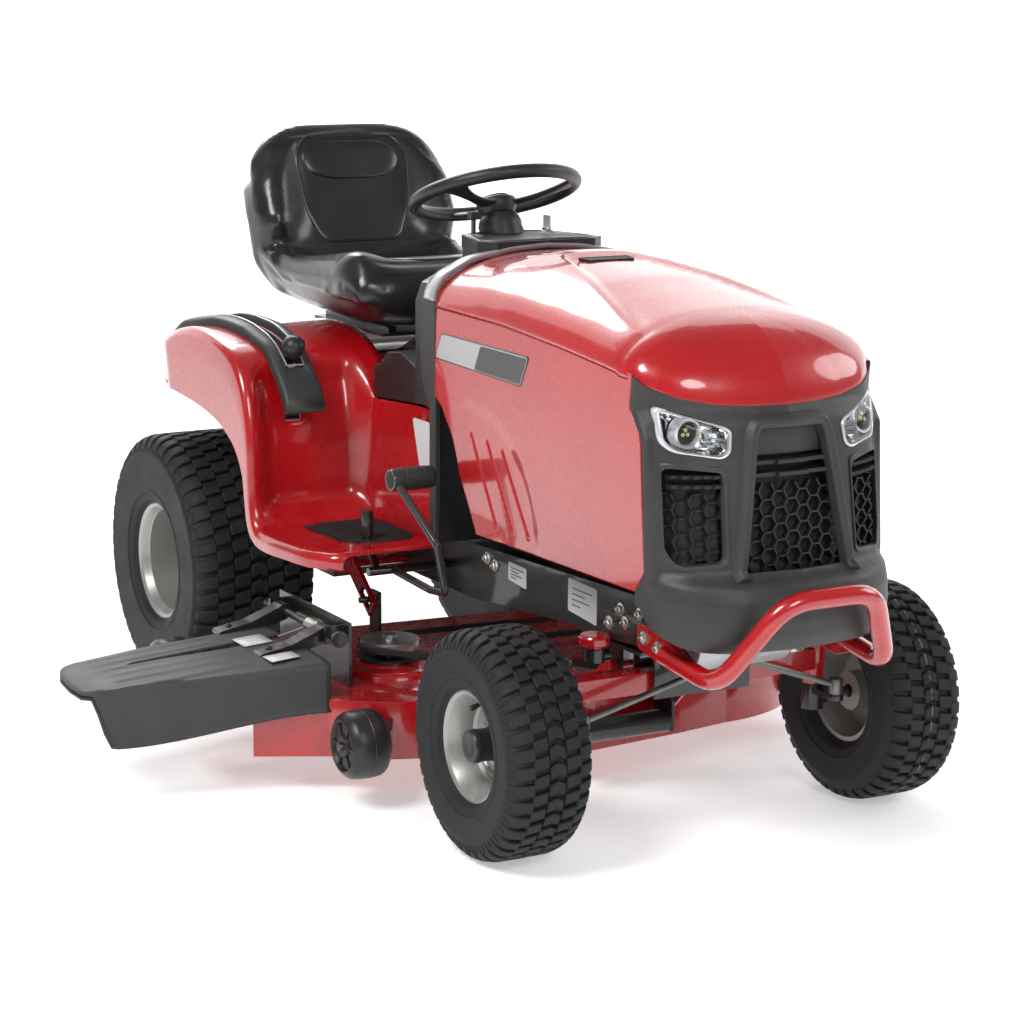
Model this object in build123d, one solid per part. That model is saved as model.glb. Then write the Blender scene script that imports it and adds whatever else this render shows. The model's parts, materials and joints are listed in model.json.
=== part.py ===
"""Riding lawn mower: one STEP file per piece, in millimetres.

The machine is drawn about its centre plane, with the ground at z = 0, +Z up, the operator
facing -Y and the discharge side at -X.  Every piece is moved by one constant shift at the end,
so that the origin is under the middle of the whole machine.
"""
import math
import os

from build123d import *

# ---- driving dimensions --------------------------------------------------------------------
SHIFT = (150.5, 77.5, 0.0)          # puts the origin under the middle of the bounding box
GAP = 0.3                            # air between pieces that move past each other
RUN = 0.05                           # radial clearance of a running fit

FRONT_Y, REAR_Y = -623.0, 623.0      # axle lines
FRONT_R, FRONT_W, FRONT_X = 190.5, 152.0, 363.0
REAR_R, REAR_W, REAR_X = 254.0, 254.0, 356.0
KINGPIN_X = 250.0
KINGPIN_R = 10.0
SPINDLE_R = 9.5
AXLE_SHAFT_R = 12.7
ROLL_Z = 262.0                       # height of the front axle's roll pin
ROLL_R = 12.0
RAIL_X, RAIL_T = 150.0, 4.0          # outer face of a frame rail and its sheet

STEER_TILT = 20.0                    # column's lean towards the operator
STEER_C = (0.0, 82.0, 1012.0)        # middle of the steering wheel's rim
STEER_R, STEER_TUBE = 150.0, 13.0
JOINT_Z = 430.0                      # height of the column's universal joint
SECTOR_Z = 303.0                     # mid-height of the sector's teeth
PINION_TEETH, SECTOR_TEETH, MODULE = 10, 50, 4.0
STEER_ARM = 66.5                     # radius of every steering arm
ARM_Z = 297.0                        # mid-height of the middle steering arm
ARM_HALF = 3.0

HOOD_PIVOT = (-890.0, 470.0)         # y, z of the hood's hinge line
HOOD_HALF = 226.0
SEAT_PIVOT = (262.0, 712.0)
PEDAL_PIVOT = (-20.0, 345.0)
LEVER_PIVOT = (430.0, 560.0)
LEVER_X = -330.0
LIFT_PIVOT = (150.0, 322.0)
LIFT_ARM_END = (80.0, 268.0)
LINK_PIVOT = (-525.0, 262.0)
LINK_END = (-400.0, 150.0)
FILLER, FILLER_R = (330.0, 420.0), 30.0
CHUTE_PIVOT = (-430.0, 262.0)        # x, z of the deflector's hinge line
PEDAL_R = 8.0

DECK_LIP, DECK_TOP = 66.0, 170.0
BLADES = {"right": (-264.0, -10.0), "left": (264.0, -55.0)}
BLADE_R, DECK_R = 256.0, 275.0
ENGINE_Y = -440.0                    # crankshaft line
GAUGE_R, GAUGE_W = 60.0, 74.0
GAUGES = {
    "front_right": (-459.0, -296.0, 114.0),
    "rear_right": (-541.0, 372.0, 100.0),
    "front_left": (545.0, -264.0, 114.0),
    "rear_left": (541.0, 372.0, 100.0),
}
SIDES = {"right": -1, "left": 1}


# ---- small helpers -------------------------------------------------------------------------
def box(x0, x1, y0, y1, z0, z1):
    """Box between two corners."""
    middle = Location(((x0 + x1) / 2, (y0 + y1) / 2, (z0 + z1) / 2))
    return middle * Box(abs(x1 - x0), abs(y1 - y0), abs(z1 - z0))


def bar(start, end, radius):
    """Round bar between two points."""
    a, b = Vector(*start), Vector(*end)
    plane = Plane(origin=a, z_dir=b - a)
    return extrude(plane * Circle(radius), amount=(b - a).length)


def rod(points, radius, bend):
    """Round bar along a bent line, with the same bend radius at each corner."""
    line = FilletPolyline(*points, radius=bend)
    return sweep(Plane(origin=line @ 0, z_dir=line % 0) * Circle(radius), path=line)


def slab_x(outline, x0, x1):
    """Outline in Y and Z, given thickness along X."""
    face = make_face(Polyline(*outline, close=True))
    return extrude(Plane.YZ.offset(min(x0, x1)) * face, amount=abs(x1 - x0), dir=(1, 0, 0))


def slab_y(outline, y0, y1):
    """Outline in X and Z, given thickness along Y."""
    face = make_face(Polyline(*outline, close=True))
    return extrude(Plane.XZ.offset(-max(y0, y1)) * face, amount=abs(y1 - y0), dir=(0, -1, 0))


def slab_z(outline, z0, z1):
    """Outline in X and Y, given thickness along Z."""
    face = make_face(Polyline(*outline, close=True))
    return extrude(Plane.XY.offset(z0) * face, amount=z1 - z0, dir=(0, 0, 1))


def turned(outline, centre, side):
    """Outline in axial distance and radius, turned about the X line through centre."""
    face = make_face(Polyline(*[(side * a, r) for a, r in outline], close=True))
    solid = revolve(Plane.XY * face, axis=Axis.X)
    return Location((0, centre[0], centre[1])) * solid


def shifted_path(points, distance):
    """Open outline in Y and Z moved sideways, to its left, by a distance."""
    out = []
    for i, (y, z) in enumerate(points):
        before = points[max(i - 1, 0)]
        after = points[min(i + 1, len(points) - 1)]
        normals = []
        for (y0, z0), (y1, z1) in ((before, (y, z)), ((y, z), after)):
            length = math.hypot(y1 - y0, z1 - z0)
            if length:
                normals.append((-(z1 - z0) / length, (y1 - y0) / length))
        ny = sum(n[0] for n in normals) / len(normals)
        nz = sum(n[1] for n in normals) / len(normals)
        size = ny * ny + nz * nz
        out.append((y + distance * ny / size, z + distance * nz / size))
    return out


def band(points, inner, outer):
    """Closed outline between two sideways shifts of one open path."""
    return shifted_path(points, inner) + shifted_path(points, outer)[::-1]


def mirror_x(shape):
    """The same piece on the other side of the machine."""
    return mirror(shape, about=Plane.YZ)


def hex_bolt(start, direction, radius, height):
    """Hexagon head standing on a face."""
    plane = Plane(origin=Vector(*start), z_dir=Vector(*direction))
    head = extrude(plane * RegularPolygon(radius, 6), amount=height)
    washer = extrude(plane * Circle(radius * 1.25), amount=1.5)
    return head + washer


# ---- frame ---------------------------------------------------------------------------------
RAIL_SIDE = [(-748, 428), (-748, 345), (-573, 332), (-490, 332), (-110, 300), (200, 300), (330, 332),
             (690, 332), (690, 400), (-140, 404)]


def frame_rail(side):
    """Folded channel that runs the length of the machine."""
    outer = slab_x(RAIL_SIDE, side * RAIL_X, side * (RAIL_X - 32))
    trimmed = [(y + (4 if y < 0 else 0), z) for y, z in RAIL_SIDE]
    middle = [(y, z - RAIL_T if z > 380 else z + RAIL_T) for y, z in trimmed]
    rail = outer - slab_x(middle, side * (RAIL_X - RAIL_T), side * (RAIL_X - 40))
    y, z = PEDAL_PIVOT
    rail -= bar((side * 90, y, z), (side * 200, y, z), PEDAL_R + RUN)
    y, z = LIFT_PIVOT
    rail -= bar((side * 90, y, z), (side * 200, y, z), PEDAL_R + RUN)
    for y, z in ((-700, 395), (-660, 372), (-720, 365)):
        rail -= bar((side * 140, y, z), (side * 160, y, z), 5.0)
    return rail


def front_crossmember():
    """Front cross plate, axle support box hung on four posts, and the hood's hinge posts."""
    part = box(-117.5, 117.5, -752, -746, 336, 428)
    part += box(-148, 148, -700, -506, 325, 331) - box(-76, 76, -608, -574, 320, 340)
    for y0, y1 in ((-658, -652), (-594, -588)):
        part += box(-94, 94, y0, y1, 236, 288)
        for x in (-94, 84):
            part += box(x, x + 10, y0, y1, 236, 326)
    part -= bar((0, -700, ROLL_Z), (0, -560, ROLL_Z), ROLL_R + RUN)
    part += bar((0, FRONT_Y, ARM_Z - 6), (0, FRONT_Y, 326), 8)
    part += box(-12, 12, FRONT_Y - 16, FRONT_Y + 16, 325, 331)
    for x in (-117.0, 112.0):
        part += slab_x([(-750, 350), (-750, 428), (-872, 484), (-906, 484), (-906, 456),
                        (-790, 380)], x, x + 5)
    y, z = HOOD_PIVOT
    for side in (-1, 1):
        part += bar((side * 112, y, z), (side * 140, y, z), 6.0)
    y, z = LINK_PIVOT
    for side in (-1, 1):
        ear = box(side * 84, side * 90, y - 16, y + 16, z - 14, 326)
        part += ear - bar((side * 70, y, z), (side * 99, y, z), 8 + RUN)
    return part


def roll_pin():
    """Pin that the front axle rocks on, with its head."""
    return bar((0, -668, ROLL_Z), (0, -580, ROLL_Z), ROLL_R) + bar(
        (0, -668, ROLL_Z), (0, -658.2, ROLL_Z), 18)


def drawbar_plate():
    """Rear plate between the rails, with the towing hole."""
    plate = box(-145.5, 145.5, 690.3, 696.3, 300, 410)
    tongue = slab_z([(-60, 690.3), (60, 690.3), (40, 752), (-40, 752)], 300, 308)
    part = plate + tongue
    return part - bar((0, 726, 290), (0, 726, 320), 9.6)


def bumper():
    """Bent tube hoop at the nose, welded to ears that bolt to the rails."""
    half = [(82, -1016, 476), (160, -946, 336), (166, -800, 354)]
    points = [(-x, y, z) for x, y, z in reversed(half)] + half
    hoop = rod(points, 16, 34)
    part = hoop
    for side in (-1, 1):
        ear = slab_x([(-700, 382), (-700, 340), (-830, 318), (-870, 352), (-800, 380)],
                     side * 150.3, side * 156)
        part += ear
    return part


# ---- front axle and steering ---------------------------------------------------------------
def front_axle():
    """Box beam with the roll tube in its middle and a kingpin tube at each end."""
    beam = box(-238, 238, FRONT_Y - 22, FRONT_Y + 22, ROLL_Z - 18, ROLL_Z + 18)
    part = beam + bar((0, -651.5, ROLL_Z), (0, -594.5, ROLL_Z), 22)
    for side in (-1, 1):
        x = side * KINGPIN_X
        part += bar((x, FRONT_Y, 216), (x, FRONT_Y, 300), 20)
        part -= bar((x, FRONT_Y, 200), (x, FRONT_Y, 320), KINGPIN_R + RUN)
    return part - bar((0, -690, ROLL_Z), (0, -560, ROLL_Z), ROLL_R + RUN)


def knuckle(side):
    """Kingpin, wheel spindle and steering arm."""
    x = side * KINGPIN_X
    part = bar((x, FRONT_Y, 178), (x, FRONT_Y, 318), KINGPIN_R)
    part += bar((x, FRONT_Y, 170), (x, FRONT_Y, 215.5), 19)
    part += bar((x, FRONT_Y, 300.5), (x, FRONT_Y, 312), 16)
    part += bar((x, FRONT_Y, FRONT_R), (side * 414, FRONT_Y, FRONT_R), SPINDLE_R)
    part += bar((x, FRONT_Y, FRONT_R), (side * 300, FRONT_Y, FRONT_R), 15)
    arm_y = FRONT_Y - STEER_ARM
    part += slab_z([(x - 13, FRONT_Y), (x - 13, arm_y), (x + 13, arm_y), (x + 13, FRONT_Y)],
                   200, 210)
    part += bar((x, arm_y, 200), (x, arm_y, 210), 14)
    return part


def track_rod(side):
    """Rod with an eye at each end, from a knuckle's arm to the middle arm."""
    y = FRONT_Y - STEER_ARM
    inner_z = ARM_Z + 12 * side
    outer = side * KINGPIN_X
    part = bar((side * 16, y, inner_z), (outer, y, 226), 5.5)
    part += bar((outer, y, 210 + GAP), (outer, y, 238), 12)
    part += bar((0, y, inner_z - 4), (0, y, inner_z + 4), 18)
    return part - bar((0, y, inner_z - 9), (0, y, inner_z + 9), 12)


def steering_arm():
    """Middle arm over the axle: one lever for the drag link, one for both track rods."""
    z0, z1 = ARM_Z - ARM_HALF, ARM_Z + ARM_HALF
    reach = STEER_ARM
    part = box(-11, 11, -reach, 0, z0, z1) + box(-reach, 0, -11, 11, z0, z1)
    part += bar((0, 0, z0 - 2), (0, 0, z1 + 8), 18)
    part += bar((0, -reach, z0), (0, -reach, z1), 11) + bar((-reach, 0, z0), (-reach, 0, z1), 11)
    part += bar((0, -reach, z0 - 18), (0, -reach, z1 + 18), 5)
    part += bar((-reach, 0, z0), (-reach, 0, z1 + 14), 5)
    part -= bar((0, 0, z0 - 9), (0, 0, z1 + 19), 8 + RUN)
    return Location((0, FRONT_Y, 0)) * part


def drag_link():
    """Rod along the machine from the sector's lever to the middle arm."""
    z = ARM_Z + 9.0
    part = None
    for y in (FRONT_Y, SECTOR_Y):
        eye = bar((-STEER_ARM, y, z - 4), (-STEER_ARM, y, z + 4), 11)
        part = eye if part is None else part + eye
    part += bar((-STEER_ARM, FRONT_Y + 6, z), (-STEER_ARM, SECTOR_Y - 6, z), 4.5)
    for y in (FRONT_Y, SECTOR_Y):
        part -= bar((-STEER_ARM, y, z - 9), (-STEER_ARM, y, z + 9), 5.4)
    return part


def gear_disc(teeth, bore, z0, z1):
    """Straight-toothed gear, or the blank of one, about the Z line through the origin."""
    pitch = teeth * MODULE / 2
    root, tip = pitch - 0.95 * MODULE, pitch + 0.6 * MODULE
    outline = []
    for i in range(teeth):
        for turn, radius in ((-0.29, root), (-0.1, tip), (0.1, tip), (0.29, root)):
            angle = 2 * math.pi * (i + turn) / teeth
            outline.append((radius * math.cos(angle), radius * math.sin(angle)))
    gear = slab_z(outline, z0, z1)
    return gear - bar((0, 0, z0 - 1), (0, 0, z1 + 1), bore) if bore else gear


def steering_wheel():
    """Rim, three dished spokes, hub and the column shaft with its upper fork."""
    rim = Torus(STEER_R, STEER_TUBE)
    hub = Location((0, 0, -24)) * Cylinder(30, 26)
    wheel = rim + hub
    for angle in (90, 210, 330):
        spoke = Location((84, 0, -12)) * Rotation(0, -8, 0) * Box(128, 34, 9)
        wheel += Rotation(0, 0, angle) * spoke
    place = Location(STEER_C) * Rotation(-STEER_TILT, 0, 0)
    column = extrude(Plane.XY.offset(-36) * Circle(9.5), amount=-(STEER_C[2] - JOINT_Z - 60)
                     / math.cos(math.radians(STEER_TILT)))
    return [place * wheel, place * column]


def column_line(z):
    """Y of the column's centre line at a height."""
    return STEER_C[1] + (z - STEER_C[2]) * math.tan(math.radians(STEER_TILT))


PINION_Y = column_line(JOINT_Z)
SECTOR_Y = PINION_Y - (PINION_TEETH + SECTOR_TEETH) * MODULE / 2


def steering_pinion():
    """Upright stub shaft with the joint's lower fork and the pinion."""
    part = bar((0, 0, SECTOR_Z - 14), (0, 0, JOINT_Z - 22), 8)
    part += bar((0, 0, JOINT_Z - 22), (0, 0, JOINT_Z), 12)
    half_step = 180.0 / PINION_TEETH
    part += Rotation(0, 0, 90 + half_step) * gear_disc(PINION_TEETH, 0, SECTOR_Z - 7, SECTOR_Z + 7)
    return Location((0, PINION_Y, 0)) * part


def steering_sector():
    """Toothed sector plate with its pivot boss and output lever."""
    z0, z1 = SECTOR_Z - 5, SECTOR_Z + 5
    gear = Rotation(0, 0, 90) * gear_disc(SECTOR_TEETH, 0, z0, z1)
    reach = SECTOR_TEETH * MODULE
    wedge = slab_z([(-24, -20), (24, -20), (reach, reach * 0.9), (-reach, reach * 0.9)],
                   z0 - 1, z1 + 1)
    part = gear & wedge
    part += bar((0, 0, z0 - 3), (0, 0, z1 + 3), 22)
    lever_z = ARM_Z - ARM_HALF
    part += box(-STEER_ARM, 0, -11, 11, lever_z, lever_z + 2 * ARM_HALF)
    part += bar((-STEER_ARM, 0, lever_z), (-STEER_ARM, 0, lever_z + 6), 11)
    part += bar((-STEER_ARM, 0, lever_z), (-STEER_ARM, 0, lever_z + 20), 5)
    part -= bar((0, 0, z0 - 20), (0, 0, z1 + 20), 10 + RUN)
    return Location((0, SECTOR_Y, 0)) * part


def sector_pin():
    """Cross plate between the rails that carries the sector's pivot pin."""
    part = box(-145.5, 145.5, SECTOR_Y - 20, SECTOR_Y + 20, 393, 399)
    return part + bar((0, SECTOR_Y, SECTOR_Z - 12), (0, SECTOR_Y, 395), 10)


# ---- wheels --------------------------------------------------------------------------------
def tyre(side, radius, width, middle, bead, y):
    """Round-shouldered tyre, turned from half its section's outline."""
    half = width / 2
    outline = [(-half + 22, bead), (half - 22, bead), (half - 6, bead + 22),
               (half, bead + 0.42 * (radius - bead)), (half - 3, radius - 26),
               (half - 14, radius - 7), (half - 34, radius), (-half + 34, radius),
               (-half + 14, radius - 7), (-half + 3, radius - 26),
               (-half, bead + 0.42 * (radius - bead)), (-half + 6, bead + 22)]
    return turned([(middle + a, r) for a, r in outline], (y, radius), side)


def rim(side, middle, width, bead, bore, y, z):
    """Stepped steel rim with its hub tube."""
    half = width / 2 - 22
    outline = [(middle - half, bead), (middle - half, bead - 12), (middle + 8, bead - 16),
               (middle + 8, 30), (middle - 40, 30), (middle - 40, bore), (middle + 44, bore),
               (middle + 44, 30), (middle + 12, 30), (middle + 14, bead - 22),
               (middle + half - 16, bead - 12), (middle + half + 4, bead - 4),
               (middle + half + 4, bead)]
    return turned(outline, (y, z), side)


def front_wheel(side):
    """Front tyre, and its rim with the dust cap."""
    bead = 90.0
    wheel_tyre = tyre(side, FRONT_R, FRONT_W, FRONT_X, bead + 0.02, FRONT_Y)
    wheel_rim = rim(side, FRONT_X, FRONT_W, bead, SPINDLE_R + RUN, FRONT_Y, FRONT_R)
    cap_x = FRONT_X + 44
    cap = turned([(cap_x, 12), (cap_x, 27), (cap_x + 12, 25), (cap_x + 15, 18), (cap_x + 15, 0),
                  (cap_x + 11, 0), (cap_x + 11, 12)], (FRONT_Y, FRONT_R), side)
    return wheel_tyre, [wheel_rim, cap]


def rear_wheel(side):
    """Rear tyre, and its rim with the axle shaft and hub cap."""
    bead = 114.0
    wheel_tyre = tyre(side, REAR_R, REAR_W, REAR_X, bead + 0.02, REAR_Y)
    wheel_rim = rim(side, REAR_X, REAR_W, bead, AXLE_SHAFT_R + 0.02, REAR_Y, REAR_R)
    shaft = bar((side * 120, REAR_Y, REAR_R), (side * 410, REAR_Y, REAR_R), AXLE_SHAFT_R)
    cap_x = REAR_X + 44
    cap = turned([(cap_x, 14), (cap_x, 28), (cap_x + 14, 25), (cap_x + 17, 17), (cap_x + 17, 0),
                  (cap_x + 11, 0), (cap_x + 11, 14)], (REAR_Y, REAR_R), side)
    return wheel_tyre, [wheel_rim, shaft, cap]


# ---- hood ----------------------------------------------------------------------------------
HOOD_STATIONS = [(-118, 840, 926), (-260, 838, 940), (-490, 829, 928), (-712, 810, 894),
                 (-900, 790, 850)]
NOSE = [(-HOOD_HALF, -118), (-HOOD_HALF, -757), (-212, -800), (-175, -838), (-120, -858),
        (-60, -870), (0, -881)]


def hood_section(y, seam, crown, inset, drop):
    """Closed section of the hood's crown at one station."""
    half = HOOD_HALF - inset
    rise = crown - inset - seam
    points = [(-half, seam - drop), (-half, seam), (-half * 0.94, seam + rise * 0.45),
              (-half * 0.62, seam + rise * 0.82), (0, seam + rise)]
    points += [(-x, z) for x, z in reversed(points[:-1])]
    face = make_face(Polyline(*points, close=True))
    return Plane.XZ.offset(-y) * face


def nose_outline(inset):
    """Plan outline of the hood's top, rounded at the nose."""
    half = [(x + inset if x < 0 else x, y + inset if y < -200 else y) for x, y in NOSE]
    return half + [(-x, y) for x, y in reversed(half[:-1])]


def hood_body(inset, drop):
    """Solid inside the hood's crown."""
    body = loft([hood_section(y, s, c, inset, drop) for y, s, c in HOOD_STATIONS], ruled=True)
    return body & slab_z(nose_outline(inset), 700, 1000)


def hood_top():
    """Crowned top with its inlet slot, open below."""
    shell = hood_body(0, 2) - hood_body(3.5, 40)
    lip = slab_x([(-960, 700), (-960, 745), (-775, 803), (-118, 840), (-100, 600)], -300, 300)
    return shell - lip - box(-48, 48, -352, -336, 880, 960)


def hood_side(side):
    """Flat side panel under the seam."""
    outline = [(-782, 800), (-776, 752), (-812, 708), (-829, 499), (-801, 463), (-290, 454),
               (-120, 673), (-123, 836)]
    return slab_x(outline, side * (HOOD_HALF - 3), side * HOOD_HALF) - grille_body(-1)


TOP_NOSE = [(-226, -760), (-222, -778), (-175, -838), (-60, -870), (0, -881)]
LOW_NOSE = [(-226, -760), (-219, -848), (-195, -903), (-120, -952), (0, -966)]


def grille_body(inset):
    """Solid inside the nose, between the lip of the hood and the chin."""
    faces = []
    for outline, z in ((TOP_NOSE, 760), (LOW_NOSE, 420), (LOW_NOSE, 388)):
        scale = 1 - inset / 206
        half = [(x * scale, -760 + (y + 760) * scale) for x, y in outline]
        points = half + [(-x, y) for x, y in reversed(half[:-1])]
        faces.append(Plane.XY.offset(z) * make_face(Polyline(*points, close=True)))
    return loft(faces[:2], ruled=True) + loft(faces[1:], ruled=True)


LAMP = [(-206, 752), (-206, 700), (-188, 684), (-120, 676), (-108, 722)]


def lamp_prism(side, grow):
    """Block through the nose in the outline of one headlamp."""
    cx, cz = -160.0, 712.0
    points = []
    for x, z in LAMP:
        length = math.hypot(x - cx, z - cz)
        points.append((side * -1 * (x + grow * (x - cx) / length), z + grow * (z - cz) / length))
    return slab_y(points, -930, -770)


def grille_shell():
    """Nose moulding with lamp holes, vents, cross bars and hinge ears."""
    shell = grille_body(0) - grille_body(5)
    shell -= box(-215, 215, -765, -700, 380, 780)
    for side in (-1, 1):
        shell -= lamp_prism(side, 1.0)
        vent = [(side * 196, 652), (side * 122, 652), (side * 118, 530), (side * 150, 505),
                (side * 188, 520)]
        shell -= slab_y(vent, -980, -800)
    centre = [(-72, 720), (72, 720), (96, 640), (100, 505), (-100, 505), (-96, 640)]
    shell -= slab_y(centre, -980, -840)
    mesh = grille_body(10) - grille_body(14)
    mesh &= box(-200, 200, -970, -790, 500, 640)
    for x in range(-190, 200, 20):
        mesh -= box(x - 6, x + 6, -1000, -760, 510, 630)
    mesh += (grille_body(4.9) - grille_body(14)) & (box(-230, 230, -970, -762, 632, 652)
                                                    + box(-230, 230, -970, -762, 494, 510))
    ears = []
    y, z = HOOD_PIVOT
    for side in (-1, 1):
        ear = slab_x([(y - 18, z - 14), (y + 18, z - 14), (y + 18, z + 20), (y - 18, z + 20)],
                     side * 120, side * 134)
        ear += box(side * 120, side * 134, y - 60, y - 16, z - 14, z + 4) & grille_body(0.5)
        ears.append(ear - bar((side * 100, y, z), (side * 150, y, z), 6.0 + RUN))
    return shell + mesh + ears[0] + ears[1]


def headlamp(side):
    """Closed lamp body that fills the hole in the nose."""
    return (grille_body(1) - grille_body(24)) & lamp_prism(side, -0.4)


# ---- dash ----------------------------------------------------------------------------------
def dash_trim():
    """Silver arch behind the hood's rear edge."""
    outer = [(-228, 690), (-228, 842), (-214, 880), (-142, 916), (0, 930)]
    inner = [(-218, 690), (-218, 838), (-206, 870), (-138, 905), (0, 919)]
    ring = outer + [(-x, z) for x, z in reversed(outer[:-1])]
    hole = inner + [(-x, z) for x, z in reversed(inner[:-1])]
    arch = slab_y(ring, -117, -88) - slab_y(hole, -130, -80)
    return arch - box(-128.5, 128.5, -120, -80, 912, 960)


def dash_tower():
    """Dark tower behind the engine, its top cover and the column's boot."""
    wall = [(-216, 407), (-216, 836), (-204, 868), (-137, 902), (0, 916)]
    ring = wall + [(-x, z) for x, z in reversed(wall[:-1])]
    part = slab_y(ring, -112, -20)
    inner = [(x * 0.97, z - 5 if z > 410 else 395) for x, z in ring]
    part -= slab_y(inner, -104, -26)
    part += box(-128, 128, -116, 60, 921, 943) & slab_z(
        [(-128, -90), (-100, -116), (100, -116), (128, -90), (92, 40), (60, 60), (-60, 60),
         (-92, 40)], 921, 943)
    part += box(-90, 90, -60, 40, 880, 925)
    part -= box(-230, 230, -92, -10, 380, 650)
    top = Vector(0, column_line(975), 975)
    foot = Vector(0, column_line(940), 940)
    axis = (top - foot).normalized()
    plane = Plane(origin=foot, z_dir=axis)
    part += extrude(plane * Circle(38), amount=34, taper=8)
    low = Vector(0, column_line(380), 380)
    part -= extrude(Plane(origin=low, z_dir=axis) * Circle(11), amount=700)
    return part


def tunnel_cover():
    """Black cover over the tunnel, between the dash and the seat."""
    side = [(-19.5, 628), (-19.5, 676), (120, 722), (172, 716), (202, 690), (232, 684),
            (232, 622), (20, 636)]
    outer = slab_x(side, -178, 178)
    inner = [(-24, 620), (-24, 672), (120, 718), (170, 712), (200, 686), (228, 680), (228, 600)]
    return outer - slab_x(inner, -174, 174)


# ---- fender pan ----------------------------------------------------------------------------
PAN_PATH = [(-72, 392), (186, 392), (212, 410), (222, 470), (226, 560), (250, 650), (310, 706),
            (370, 728), (480, 738), (620, 712), (700, 650), (728, 604)]
ARCH = [(640, 600), (480, 592), (380, 572), (300, 540), (262, 500), (248, 440), (236, 380)]


def fender_pan():
    """Footrests, wheel arches and seat deck, pressed as one piece."""
    sheet = slab_x(band(PAN_PATH, -5, 0), -440, 440)
    plan = slab_z([(-440, 120), (-440, 800), (440, 800), (440, 120), (428, 0), (384, -72),
                   (-384, -72), (-428, 0)], 300, 800)
    corner = 64
    for side in (-1, 1):
        plan -= slab_z([(side * 441, 801), (side * (441 - corner), 801), (side * 441, 640)],
                       290, 810)
    part = sheet & plan
    part -= box(-176, 176, -90, 262, 380, 500)
    skirt = [(120, 392)] + PAN_PATH[1:-2] + [(660, 681)] + ARCH + [(120, 360)]
    lip = slab_z([(-436, 118), (-424, 0), (-381, -68), (-186, -68), (-186, -73), (-384, -73),
                  (-429, 0), (-441, 118)], 362, 391)
    tunnel = slab_x([(-60, 392), (-60, 622), (20, 632), (200, 620), (232, 604), (220, 440),
                     (190, 392)], -181, -176)
    for side in (-1, 1):
        part += slab_x(skirt, side * 435, side * 440)
        part += lip if side < 0 else mirror_x(lip)
        part += tunnel if side < 0 else mirror_x(tunnel)
    part += slab_x([(-60, 616), (-60, 621), (20, 631), (230, 617), (230, 612), (20, 626)],
                   -181, 181)
    part -= bar((0, column_line(700), 700), (0, column_line(560), 560), 14)
    part -= box(LEVER_X - 15, LEVER_X + 15, 212, 560, 560, 800)
    part -= box(-308, -278, -40, 84, 380, 400)
    part -= box(-138, 138, 240, 600, 655, 760)
    x, y = FILLER
    return part - bar((x, y, 600), (x, y, 760), FILLER_R + GAP)


def fender_console():
    """Dark bezel round the lift lever's slot."""
    outline = band(PAN_PATH, 0.2, 13)
    strip = slab_x(outline, LEVER_X - 42, LEVER_X + 36) & box(-500, 0, 236, 640, 450, 800)
    return strip - box(LEVER_X - 15, LEVER_X + 15, 212, 540, 500, 800)


def footrest_pad(side):
    """Ribbed rubber pad on a footrest."""
    plan = [(346, 226), (346, 60), (320, 4), (283, 4), (169 + 22, 30), (169 + 22, 226), (220, 240),
            (300, 240)]
    pad = slab_z([(side * x, min(y, 180)) for x, y in plan], 392, 396)
    for i in range(9):
        y = 22 + i * 20
        pad += box(side * 196, side * 316, y, y + 8, 396, 398.5)
    return pad - box(-308, -278, -40, 84, 380, 400)


# ---- seat ----------------------------------------------------------------------------------
def seat_bracket():
    """Steel frame under the seat, with the hinge ears at its front."""
    part = None
    for side in (-1, 1):
        leg = slab_x([(346, 404.5), (346, 640), (330, 694), (560, 694), (640, 640),
                      (640, 404.5)], side * 144, side * 148)
        y, z = LEVER_PIVOT
        leg -= bar((side * 100, y, z), (side * 200, y, z), PEDAL_R + RUN)
        part = leg if part is None else part + leg
    part += box(-144, 144, 330, 560, 688, 694)
    y, z = SEAT_PIVOT
    for x in (-66, 60):
        part += slab_x([(y - 14, z - 14), (y + 14, z - 14), (345, 688), (345, 694),
                        (y + 14, z + 14), (y - 14, z + 14)], x, x + 6)
    part += bar((-80, y, z), (80, y, z), 6)
    return part


def seat_base():
    """Hinged base pan with slide rails and two coil springs."""
    y, z = SEAT_PIVOT
    part = box(-134, 134, y + 20, 596, 727, 733)
    for x in (-56, 40):
        part += box(x, x + 16, y - 12, y + 40, 700, 733)
    part -= bar((-90, y, z), (90, y, z), 6 + RUN)
    for side in (-1, 1):
        part += box(side * 96, side * 112, y + 40, 590, 733, 742)
        spring = Location((side * 96, 540, 711)) * Cylinder(22, 32)
        part += spring - Location((side * 96, 540, 711)) * Cylinder(15, 34)
    return part


SEAT_SIDE = [(206, 812), (214, 862), (262, 876), (330, 866), (480, 828), (600, 818), (652, 838),
             (690, 930), (735, 1050), (752, 1092), (772, 1110), (788, 1092), (786, 1040),
             (768, 930), (742, 800), (690, 764), (600, 744), (300, 744), (226, 764)]
SEAT_FRONT = [(-182, 740), (-206, 800), (-214, 900), (-213, 1040), (-196, 1086), (-160, 1104),
              (0, 1112)]


def seat_bucket():
    """Plain closed form of the moulded high-back seat, with side bolsters."""
    front = SEAT_FRONT + [(-x, z) for x, z in reversed(SEAT_FRONT[:-1])]
    body = slab_x(SEAT_SIDE, -216, 216) & slab_y(front, 100, 900)
    bolster = [(262, 872), (330, 886), (480, 866), (560, 880), (640, 930), (700, 1020),
               (735, 1050), (742, 800), (600, 744), (300, 744)]
    for side in (-1, 1):
        body += slab_x(bolster, side * 160, side * 206) & slab_y(front, 100, 900)
    return body - box(-120, 120, 200, 596, 740, 743)


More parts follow.
